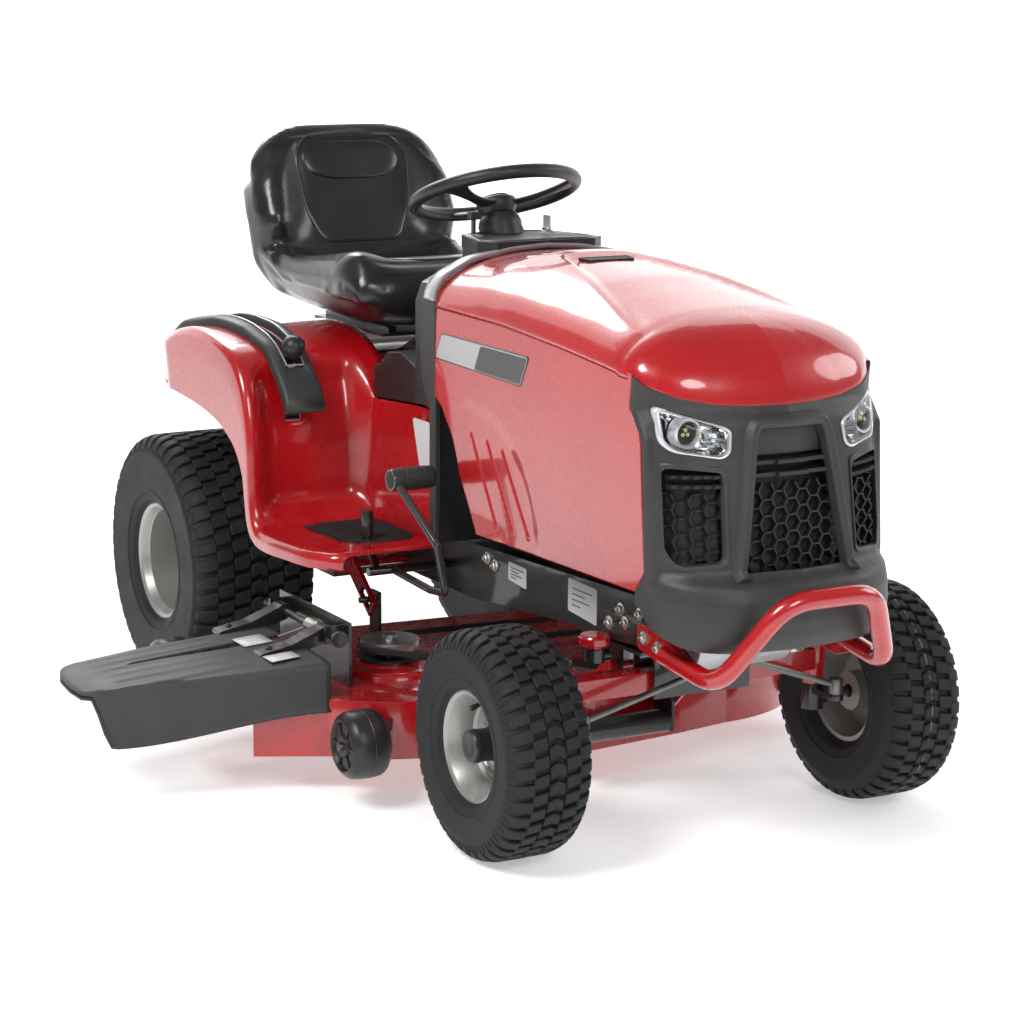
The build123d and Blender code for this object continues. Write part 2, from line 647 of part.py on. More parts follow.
# ---- controls ------------------------------------------------------------------------------
def drive_pedal():
    """Rocker shaft with the forward pedal's bent arm and the reverse pedal's stub."""
    y, z = PEDAL_PIVOT
    part = bar((-312, y, z), (-118, y, z), PEDAL_R)
    arm = [(-262, y, z), (-262, -170, 338), (-276, -258, 352), (-296, -262, 440),
           (-325, -162, 538)]
    part += rod(arm, 7, 18)
    part += bar((-334, -156, 540), (-252, -156, 540), 19)
    stub = [(-293, y, z), (-293, 23, 392), (-293, 23, 436)]
    part += rod(stub, 7, 14)
    part += bar((-293, 23, 404), (-293, 23, 450), 12)
    return part


def brake_pedal():
    """Brake shaft, bent arm and flat pad on the left side."""
    y, z = PEDAL_PIVOT
    part = bar((118, y, z), (300, y, z), PEDAL_R)
    arm = [(262, y, z), (262, -170, 338), (288, -252, 352), (292, -256, 440), (288, -160, 520)]
    part += rod(arm, 7, 18)
    pad = Location((290, -156, 528)) * Rotation(35, 0, 0) * Box(92, 60, 12)
    return part + pad


def lift_lever():
    """Hand lever with its round knob, on a cross pin."""
    y, z = LEVER_PIVOT
    part = bar((LEVER_X - 8, y, z), (-120, y, z), PEDAL_R)
    part += bar((LEVER_X, y, z), (LEVER_X, 276, 706), 7)
    part += bar((LEVER_X, 282, 700), (LEVER_X, 258, 724), 15)
    part += Location((LEVER_X, 262, 722)) * Sphere(22)
    return part


def lift_arms():
    """Cross shaft with an arm at each end, slotted for the deck's pins."""
    y, z = LIFT_PIVOT
    part = bar((-270, y, z), (270, y, z), PEDAL_R)
    end_y, end_z = LIFT_ARM_END
    angle = math.degrees(math.atan2(end_z - z, end_y - y))
    length = math.hypot(end_z - z, end_y - y)
    for side in (-1, 1):
        arm = box(-18, length + 26, -18, 18, 0, 8)
        arm -= box(length - 27, length + 18, -11, 11, -1, 9)
        arm -= Location((0, 0, 4)) * Cylinder(PEDAL_R - 0.5, 10)
        place = Plane(origin=(side * 264 - 4, y, z), x_dir=(0, math.cos(math.radians(angle)),
                      math.sin(math.radians(angle))), z_dir=(1, 0, 0))
        part += place.location * arm
    return part


def front_lift_link():
    """Pushing link from the front crossmember down to the deck's front."""
    y, z = LINK_PIVOT
    end_y, end_z = LINK_END
    part = bar((-108, y, z), (108, y, z), 8)
    length = math.hypot(end_y - y, end_z - z)
    tip = length + 20
    plate = slab_z([(-12, -15), (tip - 9, -15), (tip, -6), (tip, 6), (tip - 9, 15), (-12, 15)], 0, 6)
    plate -= box(length - 34, length + 15.5, -8, 8, -1, 7)
    along = ((end_y - y) / length, (end_z - z) / length)
    for side in (-1, 1):
        place = Plane(origin=(side * 103 - 3, y, z), x_dir=(0, *along), z_dir=(1, 0, 0))
        part += place.location * plate
    return part


def ignition_key():
    """Key in the dash lock."""
    part = bar((84, 34, 943 + GAP), (84, 34, 950), 9)
    return part + box(82.5, 85.5, 22, 46, 950, 972)


def throttle_lever():
    """Flat throttle lever standing through the dash slot."""
    part = box(-88, -83, 0, 10, 946, 976)
    return part + Location((-85.5, 5, 980)) * Box(18, 16, 14)


# ---- engine and drive ----------------------------------------------------------------------
def engine():
    """Upright-shaft engine: crankcase, cylinder, fan shroud, air filter and muffler."""
    y = ENGINE_Y
    case = box(-115, 115, y - 120, y + 120, 432, 560)
    case += box(-40, 40, y - 190, y - 110, 460, 540)
    case -= bar((0, y, 420), (0, y, 470), 20)
    shroud = Location((0, y, 612)) * Cylinder(140, 96)
    shroud -= Location((0, y, 660)) * Cylinder(90, 30)
    filter_box = box(116, 176, y - 80, y + 90, 520, 640)
    filter_box &= box(116, 176, y - 78, y + 88, 520, 640)
    muffler = bar((-70, -690, 500), (70, -690, 500), 48)
    pipe = bar((40, -650, 500), (40, -632, 500), 14)
    return [case, shroud - case, filter_box - shroud, muffler, pipe - muffler]


def crankshaft():
    """Output shaft with the traction pulley and the blade clutch's pulley."""
    y = ENGINE_Y
    part = bar((0, y, 189), (0, y, 466), 12.7)
    part += turned_z([(30, 372), (62, 372), (52, 382), (62, 392), (30, 392)], (0, y))
    part += bar((0, y, 372), (0, y, 392), 31)
    part += bar((0, y, 330), (0, y, 366), 54)
    part += bar((0, y, 190), (0, y, 330), 40)
    return part


def turned_z(outline, centre):
    """Outline in radius and height, turned about an upright line."""
    face = make_face(Polyline(*outline, close=True))
    solid = revolve(Plane.XZ * face, axis=Axis.Z)
    return Location((centre[0], centre[1], 0)) * solid


def belt_loop(pulleys, z0, z1, thickness):
    """Flat belt round two or more discs, given as centre and radius in running order."""
    outer = None
    for grow in (thickness, 0):
        hull = None
        for i, (x, y, r) in enumerate(pulleys):
            disc = Location((x, y, (z0 + z1) / 2)) * Cylinder(r + grow, z1 - z0)
            hull = disc if hull is None else hull + disc
            x2, y2, r2 = pulleys[(i + 1) % len(pulleys)]
            angle = math.atan2(y2 - y, x2 - x)
            length = math.hypot(x2 - x, y2 - y)
            lean = math.asin((r - r2) / length)
            for sign in (1, -1):
                turn = angle + sign * (math.pi / 2 - lean)
                quad = [(x, y), (x + (r + grow) * math.cos(turn), y + (r + grow) * math.sin(turn)),
                        (x2 + (r2 + grow) * math.cos(turn), y2 + (r2 + grow) * math.sin(turn)),
                        (x2, y2)]
                hull += slab_z(quad, z0, z1)
        outer = hull if outer is None else outer - hull
    return outer


def drive_belt():
    """Traction belt from the crankshaft to the transaxle."""
    return belt_loop([(0, ENGINE_Y, 63.5), (0, 560, 52.5)], 376, 388, 7)


def deck_belt():
    """Blade belt round the clutch pulley and both spindle pulleys."""
    right, left = BLADES["right"], BLADES["left"]
    return belt_loop([(0, ENGINE_Y, 41.5), (left[0], left[1], 54.5), (right[0], right[1], 54.5)],
                     200, 210, 7)


def battery():
    """Battery block with its two posts."""
    part = box(-92, 92, 365, 500, 500, 640)
    for x in (-70, 70):
        part += Location((x, 385, 648)) * Cylinder(8, 16)
    return part


def fuel_tank():
    """Tank under the left rear of the pan, with its filler neck and cap."""
    x, y = FILLER
    tank = box(190, 425, 330, 560, 612, 690) - box(194, 421, 334, 556, 616, 686)
    tank += bar((x, y, 690), (x, y, 748), FILLER_R)
    return tank + bar((x, y, 748), (x, y, 770), 38)


def transaxle():
    """Hydrostatic drive box with an axle tube to each side and its belt pulley."""
    part = box(-112, 112, 560, 684, 196, 326)
    for side in (-1, 1):
        part += bar((side * 100, REAR_Y, REAR_R), (side * 222, REAR_Y, REAR_R), 26)
    part -= bar((-300, REAR_Y, REAR_R), (300, REAR_Y, REAR_R), AXLE_SHAFT_R + RUN)
    part += bar((0, 560, 326), (0, 560, 400), 9)
    part += bar((0, 560, 372), (0, 560, 392), 52)
    return part


# ---- mower deck ----------------------------------------------------------------------------
def deck_plan(grow):
    """Plan outline of the deck as a slab from the lip to its top."""
    z0, z1 = DECK_LIP, DECK_TOP
    plan = None
    for x, y in BLADES.values():
        disc = Location((x, y, (z0 + z1) / 2)) * Cylinder(DECK_R + grow, z1 - z0)
        plan = disc if plan is None else plan + disc
    plan += slab_z([(-264, -285 - grow), (-40, -372 - grow), (150, -350 - grow),
                    (264, -330 - grow), (264, 220 + grow), (-264, 265 + grow)], z0, z1)
    return plan


def discharge(grow, z0, z1):
    """Tunnel that leads from the right blade out of the deck's right side."""
    return slab_z([(-300, -222 - grow), (-380, -236 - grow), (-590, -132 - grow),
                   (-590, 150 + grow), (-300, 200 + grow)], z0, z1)


def deck_shell():
    """Steel deck: flat top, skirt, raised ribs over the blades and the discharge tunnel."""
    part = deck_plan(3) + discharge(3, DECK_LIP, DECK_TOP)
    hollow = deck_plan(0) + discharge(0, DECK_LIP, DECK_TOP)
    part -= Location((0, 0, -3)) * hollow
    part -= box(-700, -570, -126, 150, DECK_LIP - 5, DECK_TOP - 3)
    for x, y in BLADES.values():
        part += Location((x, y, DECK_TOP + 4)) * Cylinder(118, 8)
        part -= Location((x, y, DECK_TOP)) * Cylinder(30.0, 40)
    return part


def deck_fittings():
    """Spindle housings, chute bracket and hinge pin, hanger ears, roller and wheel arms."""
    pieces = []
    for x, y in BLADES.values():
        house = bar((x, y, DECK_TOP - 40), (x, y, DECK_TOP + 20), 29.8)
        house += bar((x, y, DECK_TOP + 8.2), (x, y, DECK_TOP + 14), 62)
        pieces.append(house - bar((x, y, 60), (x, y, 300), 12.7 + RUN))
    cx, cz = CHUTE_PIVOT
    bracket = box(cx + 22, cx + 28, -140, 160, DECK_TOP + 0.2, cz + 24)
    bracket += box(cx + 22, cx + 46, -110, 120, DECK_TOP + 0.2, DECK_TOP + 6)
    for y in (-112, 130):
        bracket += box(cx - 12, cx + 28, y - 3, y + 3, cz - 16, cz + 16)
    bracket += bar((cx, -146, cz), (cx, 168, cz), 7)
    bracket += bar((cx, -152, cz), (cx, -146, cz), 15)
    pieces.append(bracket)
    end_y, end_z = LIFT_ARM_END
    for side in (-1, 1):
        ear = box(side * 244, side * 250, end_y - 15, end_y + 24, DECK_TOP + 8.2, end_z + 14)
        ear += bar((side * 244, end_y, end_z), (side * 282, end_y, end_z), 6.0)
        pieces.append(ear)
    y, z = LINK_END
    roller = bar((-90, y, 112), (90, y, 112), 22)
    for side in (-1, 1):
        roller += slab_x([(y - 22, 96), (y + 24, 96), (-364, 120), (-330, DECK_TOP - 4),
                          (-338, DECK_TOP + 6), (y, z + 14), (y - 22, z)], side * 90, side * 96)
        roller += bar((side * 90, y, z), (side * 112, y, z), 5)
    pieces.append(roller - deck_plan(3.2))
    for name, (x, y, z) in GAUGES.items():
        side = int(math.copysign(1, x))
        inner = x - side * (GAUGE_W / 2 + 4)
        toward = -1 if "rear" in name else 1
        tab_z = z + 26
        arm = box(inner - 3, inner + 3, y - 14, y + 14, z - 14, tab_z)
        deck_x, deck_y = BLADES["right" if x < 0 else "left"]
        tab_y = y - toward * 6
        angle = math.atan2(deck_y - tab_y, deck_x - inner)
        wide = (14 * math.sin(angle), -14 * math.cos(angle))
        reach = (deck_x, deck_y)
        arm += slab_z([(inner + wide[0], tab_y + wide[1]), (inner - wide[0], tab_y - wide[1]),
                       (reach[0] - wide[0], reach[1] - wide[1]),
                       (reach[0] + wide[0], reach[1] + wide[1])], tab_z - 6, tab_z)
        arm -= bar((x - GAUGE_W / 2 - 0.8, y, z), (x + GAUGE_W / 2 + 0.8, y, z), GAUGE_R + 3)
        arm += bar((inner, y, z), (x + side * (GAUGE_W / 2 + 6), y, z), 8)
        pieces.append(arm - deck_plan(3.2) - discharge(3.2, DECK_LIP, DECK_TOP))
    return pieces


def gauge_wheel(name):
    """Plastic wheel that keeps the deck off high ground."""
    x, y, z = GAUGES[name]
    half = GAUGE_W / 2
    outline = [(-half, 8 + RUN), (half, 8 + RUN), (half, GAUGE_R - 14), (half - 12, GAUGE_R - 2),
               (0, GAUGE_R), (-half + 12, GAUGE_R - 2), (-half, GAUGE_R - 14)]
    face = make_face(Polyline(*outline, close=True))
    return Location((x, y, z)) * revolve(Plane.XY * face, axis=Axis.X)


def cutter(name, turn):
    """Spindle shaft with its pulley, and the blade under it."""
    x, y = BLADES[name]
    shaft = bar((x, y, 88), (x, y, 222), 12.7)
    shaft += bar((x, y, 196), (x, y, 214), 54)
    shaft += bar((x, y, 92), (x, y, 100), 40)
    blade = Rotation(0, 0, turn) * (Location((0, 0, 88)) * Box(2 * BLADE_R, 60, 5))
    blade &= Location((0, 0, 88)) * Cylinder(BLADE_R, 20)
    wing = Location((BLADE_R - 50, -26, 94)) * Rotation(-35, 0, 0) * Box(90, 24, 4)
    both = wing + Rotation(0, 0, 180) * wing
    blade += Rotation(0, 0, turn) * both
    return [shaft, Location((x, y, 0)) * blade - shaft]


def chute_deflector():
    """Moulded deflector with two hinge arms, a front wall and a flared outer edge."""
    cx, cz = CHUTE_PIVOT
    front = [(-474, -202), (-880, -98)]
    plan = slab_z(front + [(-889, -30), (-860, 96), (-700, 118), (-474, 110)], 90, 260)
    part = slab_y([(-468, 240), (-468, 234), (-890, 204), (-890, 210)], -210, 120) & plan
    (x0, y0), (x1, y1) = front
    wall = slab_z([(x0, y0), (x1, y1), (x1, y1 + 6), (x0, y0 + 6)], 90, 250)
    part += wall & slab_y([(-468, 237), (-468, 104), (-862, 106), (-889, 207)], -220, 0)
    for y0 in (-100, 84):
        part += slab_y([(cx - 16, cz - 12), (cx - 16, cz + 12), (cx + 8, cz + 14),
                        (cx + 14, cz), (cx + 4, cz - 14)], y0, y0 + 34)
        part += slab_y([(cx - 8, cz - 12), (cx - 8, cz + 13), (-560, 234), (-560, 222)],
                       y0, y0 + 34)
    return part - bar((cx, -200, cz), (cx, 200, cz), 7 + RUN)


# ---- bolts ---------------------------------------------------------------------------------
def chassis_fasteners():
    """Hexagon bolts on the rails and the bumper's ears."""
    heads = []
    for side in (-1, 1):
        for y, z in ((-700, 395), (-660, 372), (-600, 352), (-180, 388), (-210, 380)):
            heads.append(hex_bolt((side * 150.05, y, z), (side, 0, 0), 7, 6))
        for y, z in ((-722, 362), (-764, 356)):
            heads.append(hex_bolt((side * 156.05, y, z), (side, 0, 0), 7, 6))
    return heads


def write(name, shapes):
    """Moves a piece into the machine's own frame and writes its file."""
    solids = []
    for shape in shapes if isinstance(shapes, (list, tuple)) else [shapes]:
        solids += (Location(SHIFT) * shape).solids()
    export_step(Compound(children=solids) if len(solids) > 1 else solids[0],
                "parts/" + name + ".step")


def main():
    """Builds and writes every piece."""
    os.makedirs("parts", exist_ok=True)
    for word, side in SIDES.items():
        write("frame_rail_" + word, frame_rail(side))
        write("knuckle_" + word, knuckle(side))
        write("track_rod_" + word, track_rod(side))
        wheel_tyre, wheel_rim = front_wheel(side)
        write("front_tyre_" + word, wheel_tyre)
        write("front_rim_" + word, wheel_rim)
        wheel_tyre, wheel_rim = rear_wheel(side)
        write("rear_tyre_" + word, wheel_tyre)
        write("rear_rim_" + word, wheel_rim)
        write("hood_side_" + word, hood_side(side))
    write("frame_crossmembers", [front_crossmember(), roll_pin(), sector_pin(), drawbar_plate()])
    write("bumper", bumper())
    write("front_axle", front_axle())
    write("steering_arm", steering_arm())
    write("steering_wheel", steering_wheel())
    write("steering_pinion", steering_pinion())
    write("steering_sector", steering_sector())
    write("drag_link", drag_link())
    write("hood_top", hood_top())
    write("grille_shell", grille_shell())
    write("headlamps", [headlamp(-1), headlamp(1)])
    write("dash_trim", dash_trim())
    write("dash_tower", dash_tower())
    write("tunnel_cover", tunnel_cover())
    write("fender_pan", fender_pan())
    write("fender_console", fender_console())
    write("footrest_pads", [footrest_pad(-1), footrest_pad(1)])
    write("seat_bracket", seat_bracket())
    write("seat_base", seat_base())
    write("seat_bucket", seat_bucket())
    write("drive_pedal", drive_pedal())
    write("brake_pedal", brake_pedal())
    write("lift_lever", lift_lever())
    write("lift_arms", lift_arms())
    write("front_lift_link", front_lift_link())
    write("ignition_key", ignition_key())
    write("throttle_lever", throttle_lever())
    write("engine", engine())
    write("crankshaft", crankshaft())
    write("drive_belt", drive_belt())
    write("battery", battery())
    write("fuel_tank", fuel_tank())
    write("transaxle", transaxle())
    write("deck_shell", deck_shell())
    write("deck_fittings", deck_fittings())
    write("deck_belt", deck_belt())
    write("chute_deflector", chute_deflector())
    write("cutter_right", cutter("right", 0))
    write("cutter_left", cutter("left", 90))
    for name in GAUGES:
        write("gauge_wheel_" + name, gauge_wheel(name))
    write("chassis_fasteners", chassis_fasteners())


main()
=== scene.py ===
"""Riding lawn mower: its looks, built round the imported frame.

Lengths are millimetres from the machine's centre plane, the ground and the line midway
between the axles, with the operator facing -Y.  The datum turns them into the frame's metres.
"""
from __future__ import annotations

import json
import logging
import math
from dataclasses import dataclass, field
from enum import Enum
from typing import Any, Callable, ClassVar, Iterable, Sequence

import bmesh
import bpy
import numpy as np
from mathutils import Matrix, Vector
from mathutils.bvhtree import BVHTree

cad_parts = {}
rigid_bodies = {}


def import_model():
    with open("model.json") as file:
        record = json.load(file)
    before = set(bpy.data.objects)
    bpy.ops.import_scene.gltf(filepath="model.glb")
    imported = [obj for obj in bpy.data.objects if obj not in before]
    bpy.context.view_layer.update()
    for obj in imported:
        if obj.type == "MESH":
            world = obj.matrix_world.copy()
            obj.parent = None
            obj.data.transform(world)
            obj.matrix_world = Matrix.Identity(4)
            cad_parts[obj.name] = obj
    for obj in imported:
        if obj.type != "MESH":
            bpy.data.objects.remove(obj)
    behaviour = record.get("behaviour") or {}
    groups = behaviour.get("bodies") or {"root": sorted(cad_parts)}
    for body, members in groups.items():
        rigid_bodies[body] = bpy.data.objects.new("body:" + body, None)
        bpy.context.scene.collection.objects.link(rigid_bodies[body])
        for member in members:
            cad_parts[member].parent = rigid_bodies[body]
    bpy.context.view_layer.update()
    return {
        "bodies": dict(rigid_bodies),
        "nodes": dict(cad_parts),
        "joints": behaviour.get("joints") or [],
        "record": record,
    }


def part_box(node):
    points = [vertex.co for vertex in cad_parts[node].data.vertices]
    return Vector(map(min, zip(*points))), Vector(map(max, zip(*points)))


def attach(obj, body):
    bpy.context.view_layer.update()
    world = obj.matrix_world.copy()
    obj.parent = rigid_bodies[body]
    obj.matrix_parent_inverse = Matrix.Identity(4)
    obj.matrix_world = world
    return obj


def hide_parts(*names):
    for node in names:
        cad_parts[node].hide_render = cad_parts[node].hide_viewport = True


LOG = logging.getLogger("mower")
Point = Sequence[float]
Line = Sequence[Point]
SIDES: dict[str, int] = {"right": -1, "left": 1}


class Along(Enum):
    """The axis that a flat outline is drawn out along."""

    X = 0
    Y = 1
    Z = 2

    def lift(self, point: Point, height: float) -> tuple[float, float, float]:
        """Returns the point in space of an outline's point at a height along this axis."""
        whole = list(point)
        whole.insert(self.value, height)
        return tuple(whole)


# ---- lines ----
def even(points: Line, count: int) -> np.ndarray:
    """Spreads points evenly along a broken line.

    Args:
        points: the line's corners.
        count: how many points to return.

    Returns:
        An array of that many points, the first and last ones kept.
    """
    p = np.array(points, float)
    run = np.r_[0, np.cumsum(np.linalg.norm(np.diff(p, axis=0), axis=1))]
    at = np.linspace(0, run[-1], count)
    return np.stack([np.interp(at, run, p[:, k]) for k in range(p.shape[1])], axis=1)


def flowing(points: Line, count: int, closed: bool = False) -> np.ndarray:
    """Draws a smooth line through points and spreads points evenly along it.

    Args:
        points: what the line passes through.
        count: how many points to return.
        closed: whether the line runs back to its start, which isn't repeated then.

    Returns:
        An array of that many points.
    """
    p = np.array(points, float)
    if closed:
        p = np.vstack([p[-1:], p, p[:2]])
    else:
        p = np.vstack([2 * p[:1] - p[1:2], p, 2 * p[-1:] - p[-2:-1]])
    t = np.linspace(0, 1, 12, endpoint=False)[:, None]
    spans = []
    for a, b, c, d in zip(p, p[1:], p[2:], p[3:]):
        spans.append(0.5 * (2 * b + (c - a) * t + (2 * a - 5 * b + 4 * c - d) * t ** 2
                            + (3 * b - a - 3 * c + d) * t ** 3))
    whole = np.vstack(spans + [p[-2:-1]])
    return even(whole, count + 1)[:-1] if closed else even(whole, count)


def eased(points: Line, radius: float, steps: int = 6) -> np.ndarray:
    """Rounds the corners of a broken line.

    Args:
        points: the line's corners.
        radius: how far before and after a corner the bend reaches.
        steps: how many points a bend has.

    Returns:
        An array of the rounded line's points.
    """
    p = np.array(points, float)
    out = [p[0]]
    for a, b, c in zip(p, p[1:], p[2:]):
        back, on = a - b, c - b
        reach = min(radius, 0.48 * np.linalg.norm(back), 0.48 * np.linalg.norm(on))
        start, end = b + back / np.linalg.norm(back) * reach, b + on / np.linalg.norm(on) * reach
        for t in np.linspace(0, 1, steps):
            out.append((1 - t) ** 2 * start + 2 * t * (1 - t) * b + t ** 2 * end)
    return np.array(out + [p[-1]])


def loop_eased(points: Line, radius: float, steps: int = 5) -> np.ndarray:
    """Rounds every corner of a closed outline and returns its points."""
    p = list(map(tuple, points))
    return eased([p[-1]] + p + [p[0]], radius, steps)[1:-1]


def step(x: float, low: float, high: float) -> float:
    """Returns 0 below low, 1 above high and a smooth rise between them."""
    t = min(1.0, max(0.0, (x - low) / (high - low)))
    return t * t * (3 - 2 * t)


def span(side: int, near: float, far: float) -> tuple[float, float]:
    """Returns the low and high ends of a stretch that lies on one side of the machine."""
    return (near, far) if side > 0 else (-far, -near)


def mirrored(points: Line) -> list[tuple[float, ...]]:
    """Adds a half outline's mirror image in its first coordinate, back to its start."""
    half = [tuple(p) for p in points]
    back = [(-p[0],) + p[1:] for p in reversed(half) if abs(p[0]) > 1e-6]
    return half + back


# ---- shapes ----
@dataclass(frozen=True)
class Datum:
    """Where the machine's centre plane and mid-axle line stand in the frame, in metres."""

    x: float
    y: float

    @classmethod
    def read(cls) -> Datum:
        """Reads the datum from the frame rails and the tyres."""
        right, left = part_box("frame_rail_right"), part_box("frame_rail_left")
        front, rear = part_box("front_tyre_right"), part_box("rear_tyre_right")
        middle = [(low.y + high.y) / 2 for low, high in (front, rear)]
        return cls((right[0].x + left[1].x) / 2, sum(middle) / 2)

    @property
    def matrix(self) -> Matrix:
        """The transform from the drawing's millimetres to the frame's metres."""
        return Matrix.Translation((self.x, self.y, 0)) @ Matrix.Scale(0.001, 4)


@dataclass(frozen=True)
class Edges:
    """How a piece's mesh is finished.

    Attributes:
        bevel: width of the rounded edges in millimetres.
        levels: subdivision levels.
        thick: sheet thickness in millimetres, laid inwards.
        sharp: edges that turn more than this many degrees stay crisp.
    """

    bevel: float = 0.0
    levels: int = 0
    thick: float = 0.0
    sharp: float = 35.0


def placed(name: str, data: bpy.types.ID) -> bpy.types.Object:
    """Makes an object of a mesh, light or camera, adds it to the scene and returns it."""
    piece = bpy.data.objects.new(name, data)
    bpy.context.scene.collection.objects.link(piece)
    return piece


class Shape:
    """A mesh under construction, in the drawing's millimetres."""

    datum: ClassVar[Datum]

    def __init__(self) -> None:
        """Starts an empty mesh."""
        self.bm = bmesh.new()

    def grid(self, rows: Sequence[Line], ring: bool = False, caps: bool = False,
             keep: Callable[[Vector], bool] | None = None) -> Shape:
        """Skins rows of points with quads.

        Args:
            rows: lines with the same number of points.
            ring: whether each row is a closed loop.
            caps: whether the first and last loops are filled.
            keep: says of a quad's centre whether the quad is made.

        Returns:
            This shape.
        """
        made = [[self.bm.verts.new(Vector(p)) for p in row] for row in rows]
        for a, b in zip(made, made[1:]):
            for i in range(len(a) if ring else len(a) - 1):
                j = (i + 1) % len(a)
                quad = (a[i], a[j], b[j], b[i])
                if keep is None or keep(sum((v.co for v in quad), Vector()) / 4):
                    self.bm.faces.new(quad)
        if caps:
            self.bm.faces.new(made[0][::-1])
            self.bm.faces.new(made[-1])
        return self

    def prism(self, outline: Line, along: Along, low: float, high: float) -> Shape:
        """Draws an outline out along an axis and returns this shape."""
        rows = [[along.lift(p, h) for p in outline] for h in (low, high)]
        return self.grid(rows, ring=True, caps=True)

    def box(self, low: Point, high: Point) -> Shape:
        """Adds a box between two corners and returns this shape."""
        (x0, y0, z0), (x1, y1, z1) = low, high
        return self.prism([(x0, y0), (x1, y0), (x1, y1), (x0, y1)], Along.Z, z0, z1)

    def lathe(self, profile: Line, centre: Point, axis: Point, segments: int = 48,
              closed: bool = False) -> Shape:
        """Turns a profile about an axis.

        Args:
            profile: points as distance along the axis and radius.
            centre: the axis's origin.
            axis: the axis's direction.
            segments: how many facets go round.
            closed: whether the profile is a loop.

        Returns:
            This shape.
        """
        turn = Vector(axis).to_track_quat("Z", "Y")
        rows = []
        for k in range(segments + 1):
            a = 2 * math.pi * k / segments
            rows.append([Vector(centre) + turn @ Vector((r * math.cos(a), r * math.sin(a), h))
                         for h, r in profile])
        return self.grid(rows, ring=closed)

    def sweep(self, path: Line, section: Line, up: Point = (0, 0, 1)) -> Shape:
        """Carries a closed section along a line.

        Args:
            path: the points that the section's origin follows.
            section: points across the line and towards up.
            up: the direction that the section's second coordinate keeps nearest to.

        Returns:
            This shape.
        """
        p = [Vector(q) for q in path]
        rows = []
        side = None
        for i, q in enumerate(p):
            way = (p[min(i + 1, len(p) - 1)] - p[max(i - 1, 0)]).normalized()
            over = way.cross(Vector(up)) if side is None else side - way * side.dot(way)
            side = over.normalized()
            top = side.cross(way)
            rows.append([q + side * u + top * v for u, v in section])
        return self.grid(rows, ring=True, caps=True)

    def pipe(self, path: Line, radius: float, bend: float = 0.0, sides: int = 14) -> Shape:
        """Adds a round bar along a line whose corners are rounded, and returns this shape."""
        line = eased(path, bend, 7) if bend and len(path) > 2 else np.array(path, float)
        way = Vector(line[1] - line[0]).normalized()
        up = (0, 0, 1) if abs(way.z) < 0.9 else (0, 1, 0)
        section = [(radius * math.cos(a), radius * math.sin(a))
                   for a in np.linspace(0, 2 * math.pi, sides, endpoint=False)]
        return self.sweep(line, section, up)

    def bolt(self, at: Point, way: Point, size: float = 7.0) -> Shape:
        """Adds a hexagon head with its washer and domed end, and returns this shape."""
        flat = [(0, 0), (0, size * 1.55), (size * 0.2, size * 1.55), (size * 0.25, size * 1.4)]
        self.lathe(flat + [(size * 0.25, 0)], at, way, 24)
        head = [(size * 0.2, size), (size * 0.78, size), (size * 0.95, size * 0.82)]
        self.lathe(head + [(size * 0.95, 0)], at, way, 6)
        stud = [(size * 0.9, size * 0.55), (size * 1.3, size * 0.55), (size * 1.4, size * 0.4)]
        return self.lathe(stud + [(size * 1.4, 0)], at, way, 14)

    def turned(self, matrix: Matrix) -> Shape:
        """Moves everything made so far and returns this shape."""
        bmesh.ops.transform(self.bm, matrix=matrix, verts=self.bm.verts)
        return self

    def mesh(self, name: str) -> bpy.types.Mesh:
        """Closes the work and returns the mesh in the frame's metres."""
        bmesh.ops.remove_doubles(self.bm, verts=self.bm.verts, dist=0.02)
        bmesh.ops.recalc_face_normals(self.bm, faces=self.bm.faces)
        mesh = bpy.data.meshes.new(name)
        self.bm.to_mesh(mesh)
        self.bm.free()
        mesh.transform(self.datum.matrix)
        return mesh

    def build(self, name: str, finish: Finish, body: str, replaces: Iterable[str] = (),
              edges: Edges = Edges()) -> bpy.types.Object:
        """Makes the piece and hangs it on its body.

        Args:
            name: the piece's name.
            finish: what it is covered with.
            body: the body that it moves with.
            replaces: the CAD nodes that it stands for.
            edges: how its mesh is finished.

        Returns:
            The piece.
        """
        return hang(placed(name, self.mesh(name)), finish, body, replaces, edges)


def soften(piece: bpy.types.Object, edges: Edges) -> None:
    """Gives a piece its sheet thickness, rounded edges and subdivision as modifiers."""
    if edges.thick:
        solid = piece.modifiers.new("sheet", "SOLIDIFY")
        solid.thickness, solid.offset = edges.thick / 1000, -1
    if edges.bevel:
        bevel = piece.modifiers.new("edges", "BEVEL")
        bevel.width, bevel.segments = edges.bevel / 1000, 2
        bevel.limit_method, bevel.angle_limit = "ANGLE", math.radians(32)
    if edges.levels:
        smooth = piece.modifiers.new("smooth", "SUBSURF")
        smooth.levels = smooth.render_levels = edges.levels


def hang(piece: bpy.types.Object, finish: Finish, body: str, replaces: Iterable[str],
         edges: Edges) -> bpy.types.Object:
    """Shades, softens, paints and rides a piece, and returns it."""
    mesh = piece.data
    mesh.polygons.foreach_set("use_smooth", [True] * len(mesh.polygons))
    mesh.set_sharp_from_angle(angle=math.radians(edges.sharp))
    mesh.materials.clear()
    mesh.materials.append(finish.material())
    soften(piece, edges)
    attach(piece, body)
    if replaces:
        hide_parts(*replaces)
    LOG.info("%s: %d faces on %s", piece.name, len(mesh.polygons), body)
    return piece


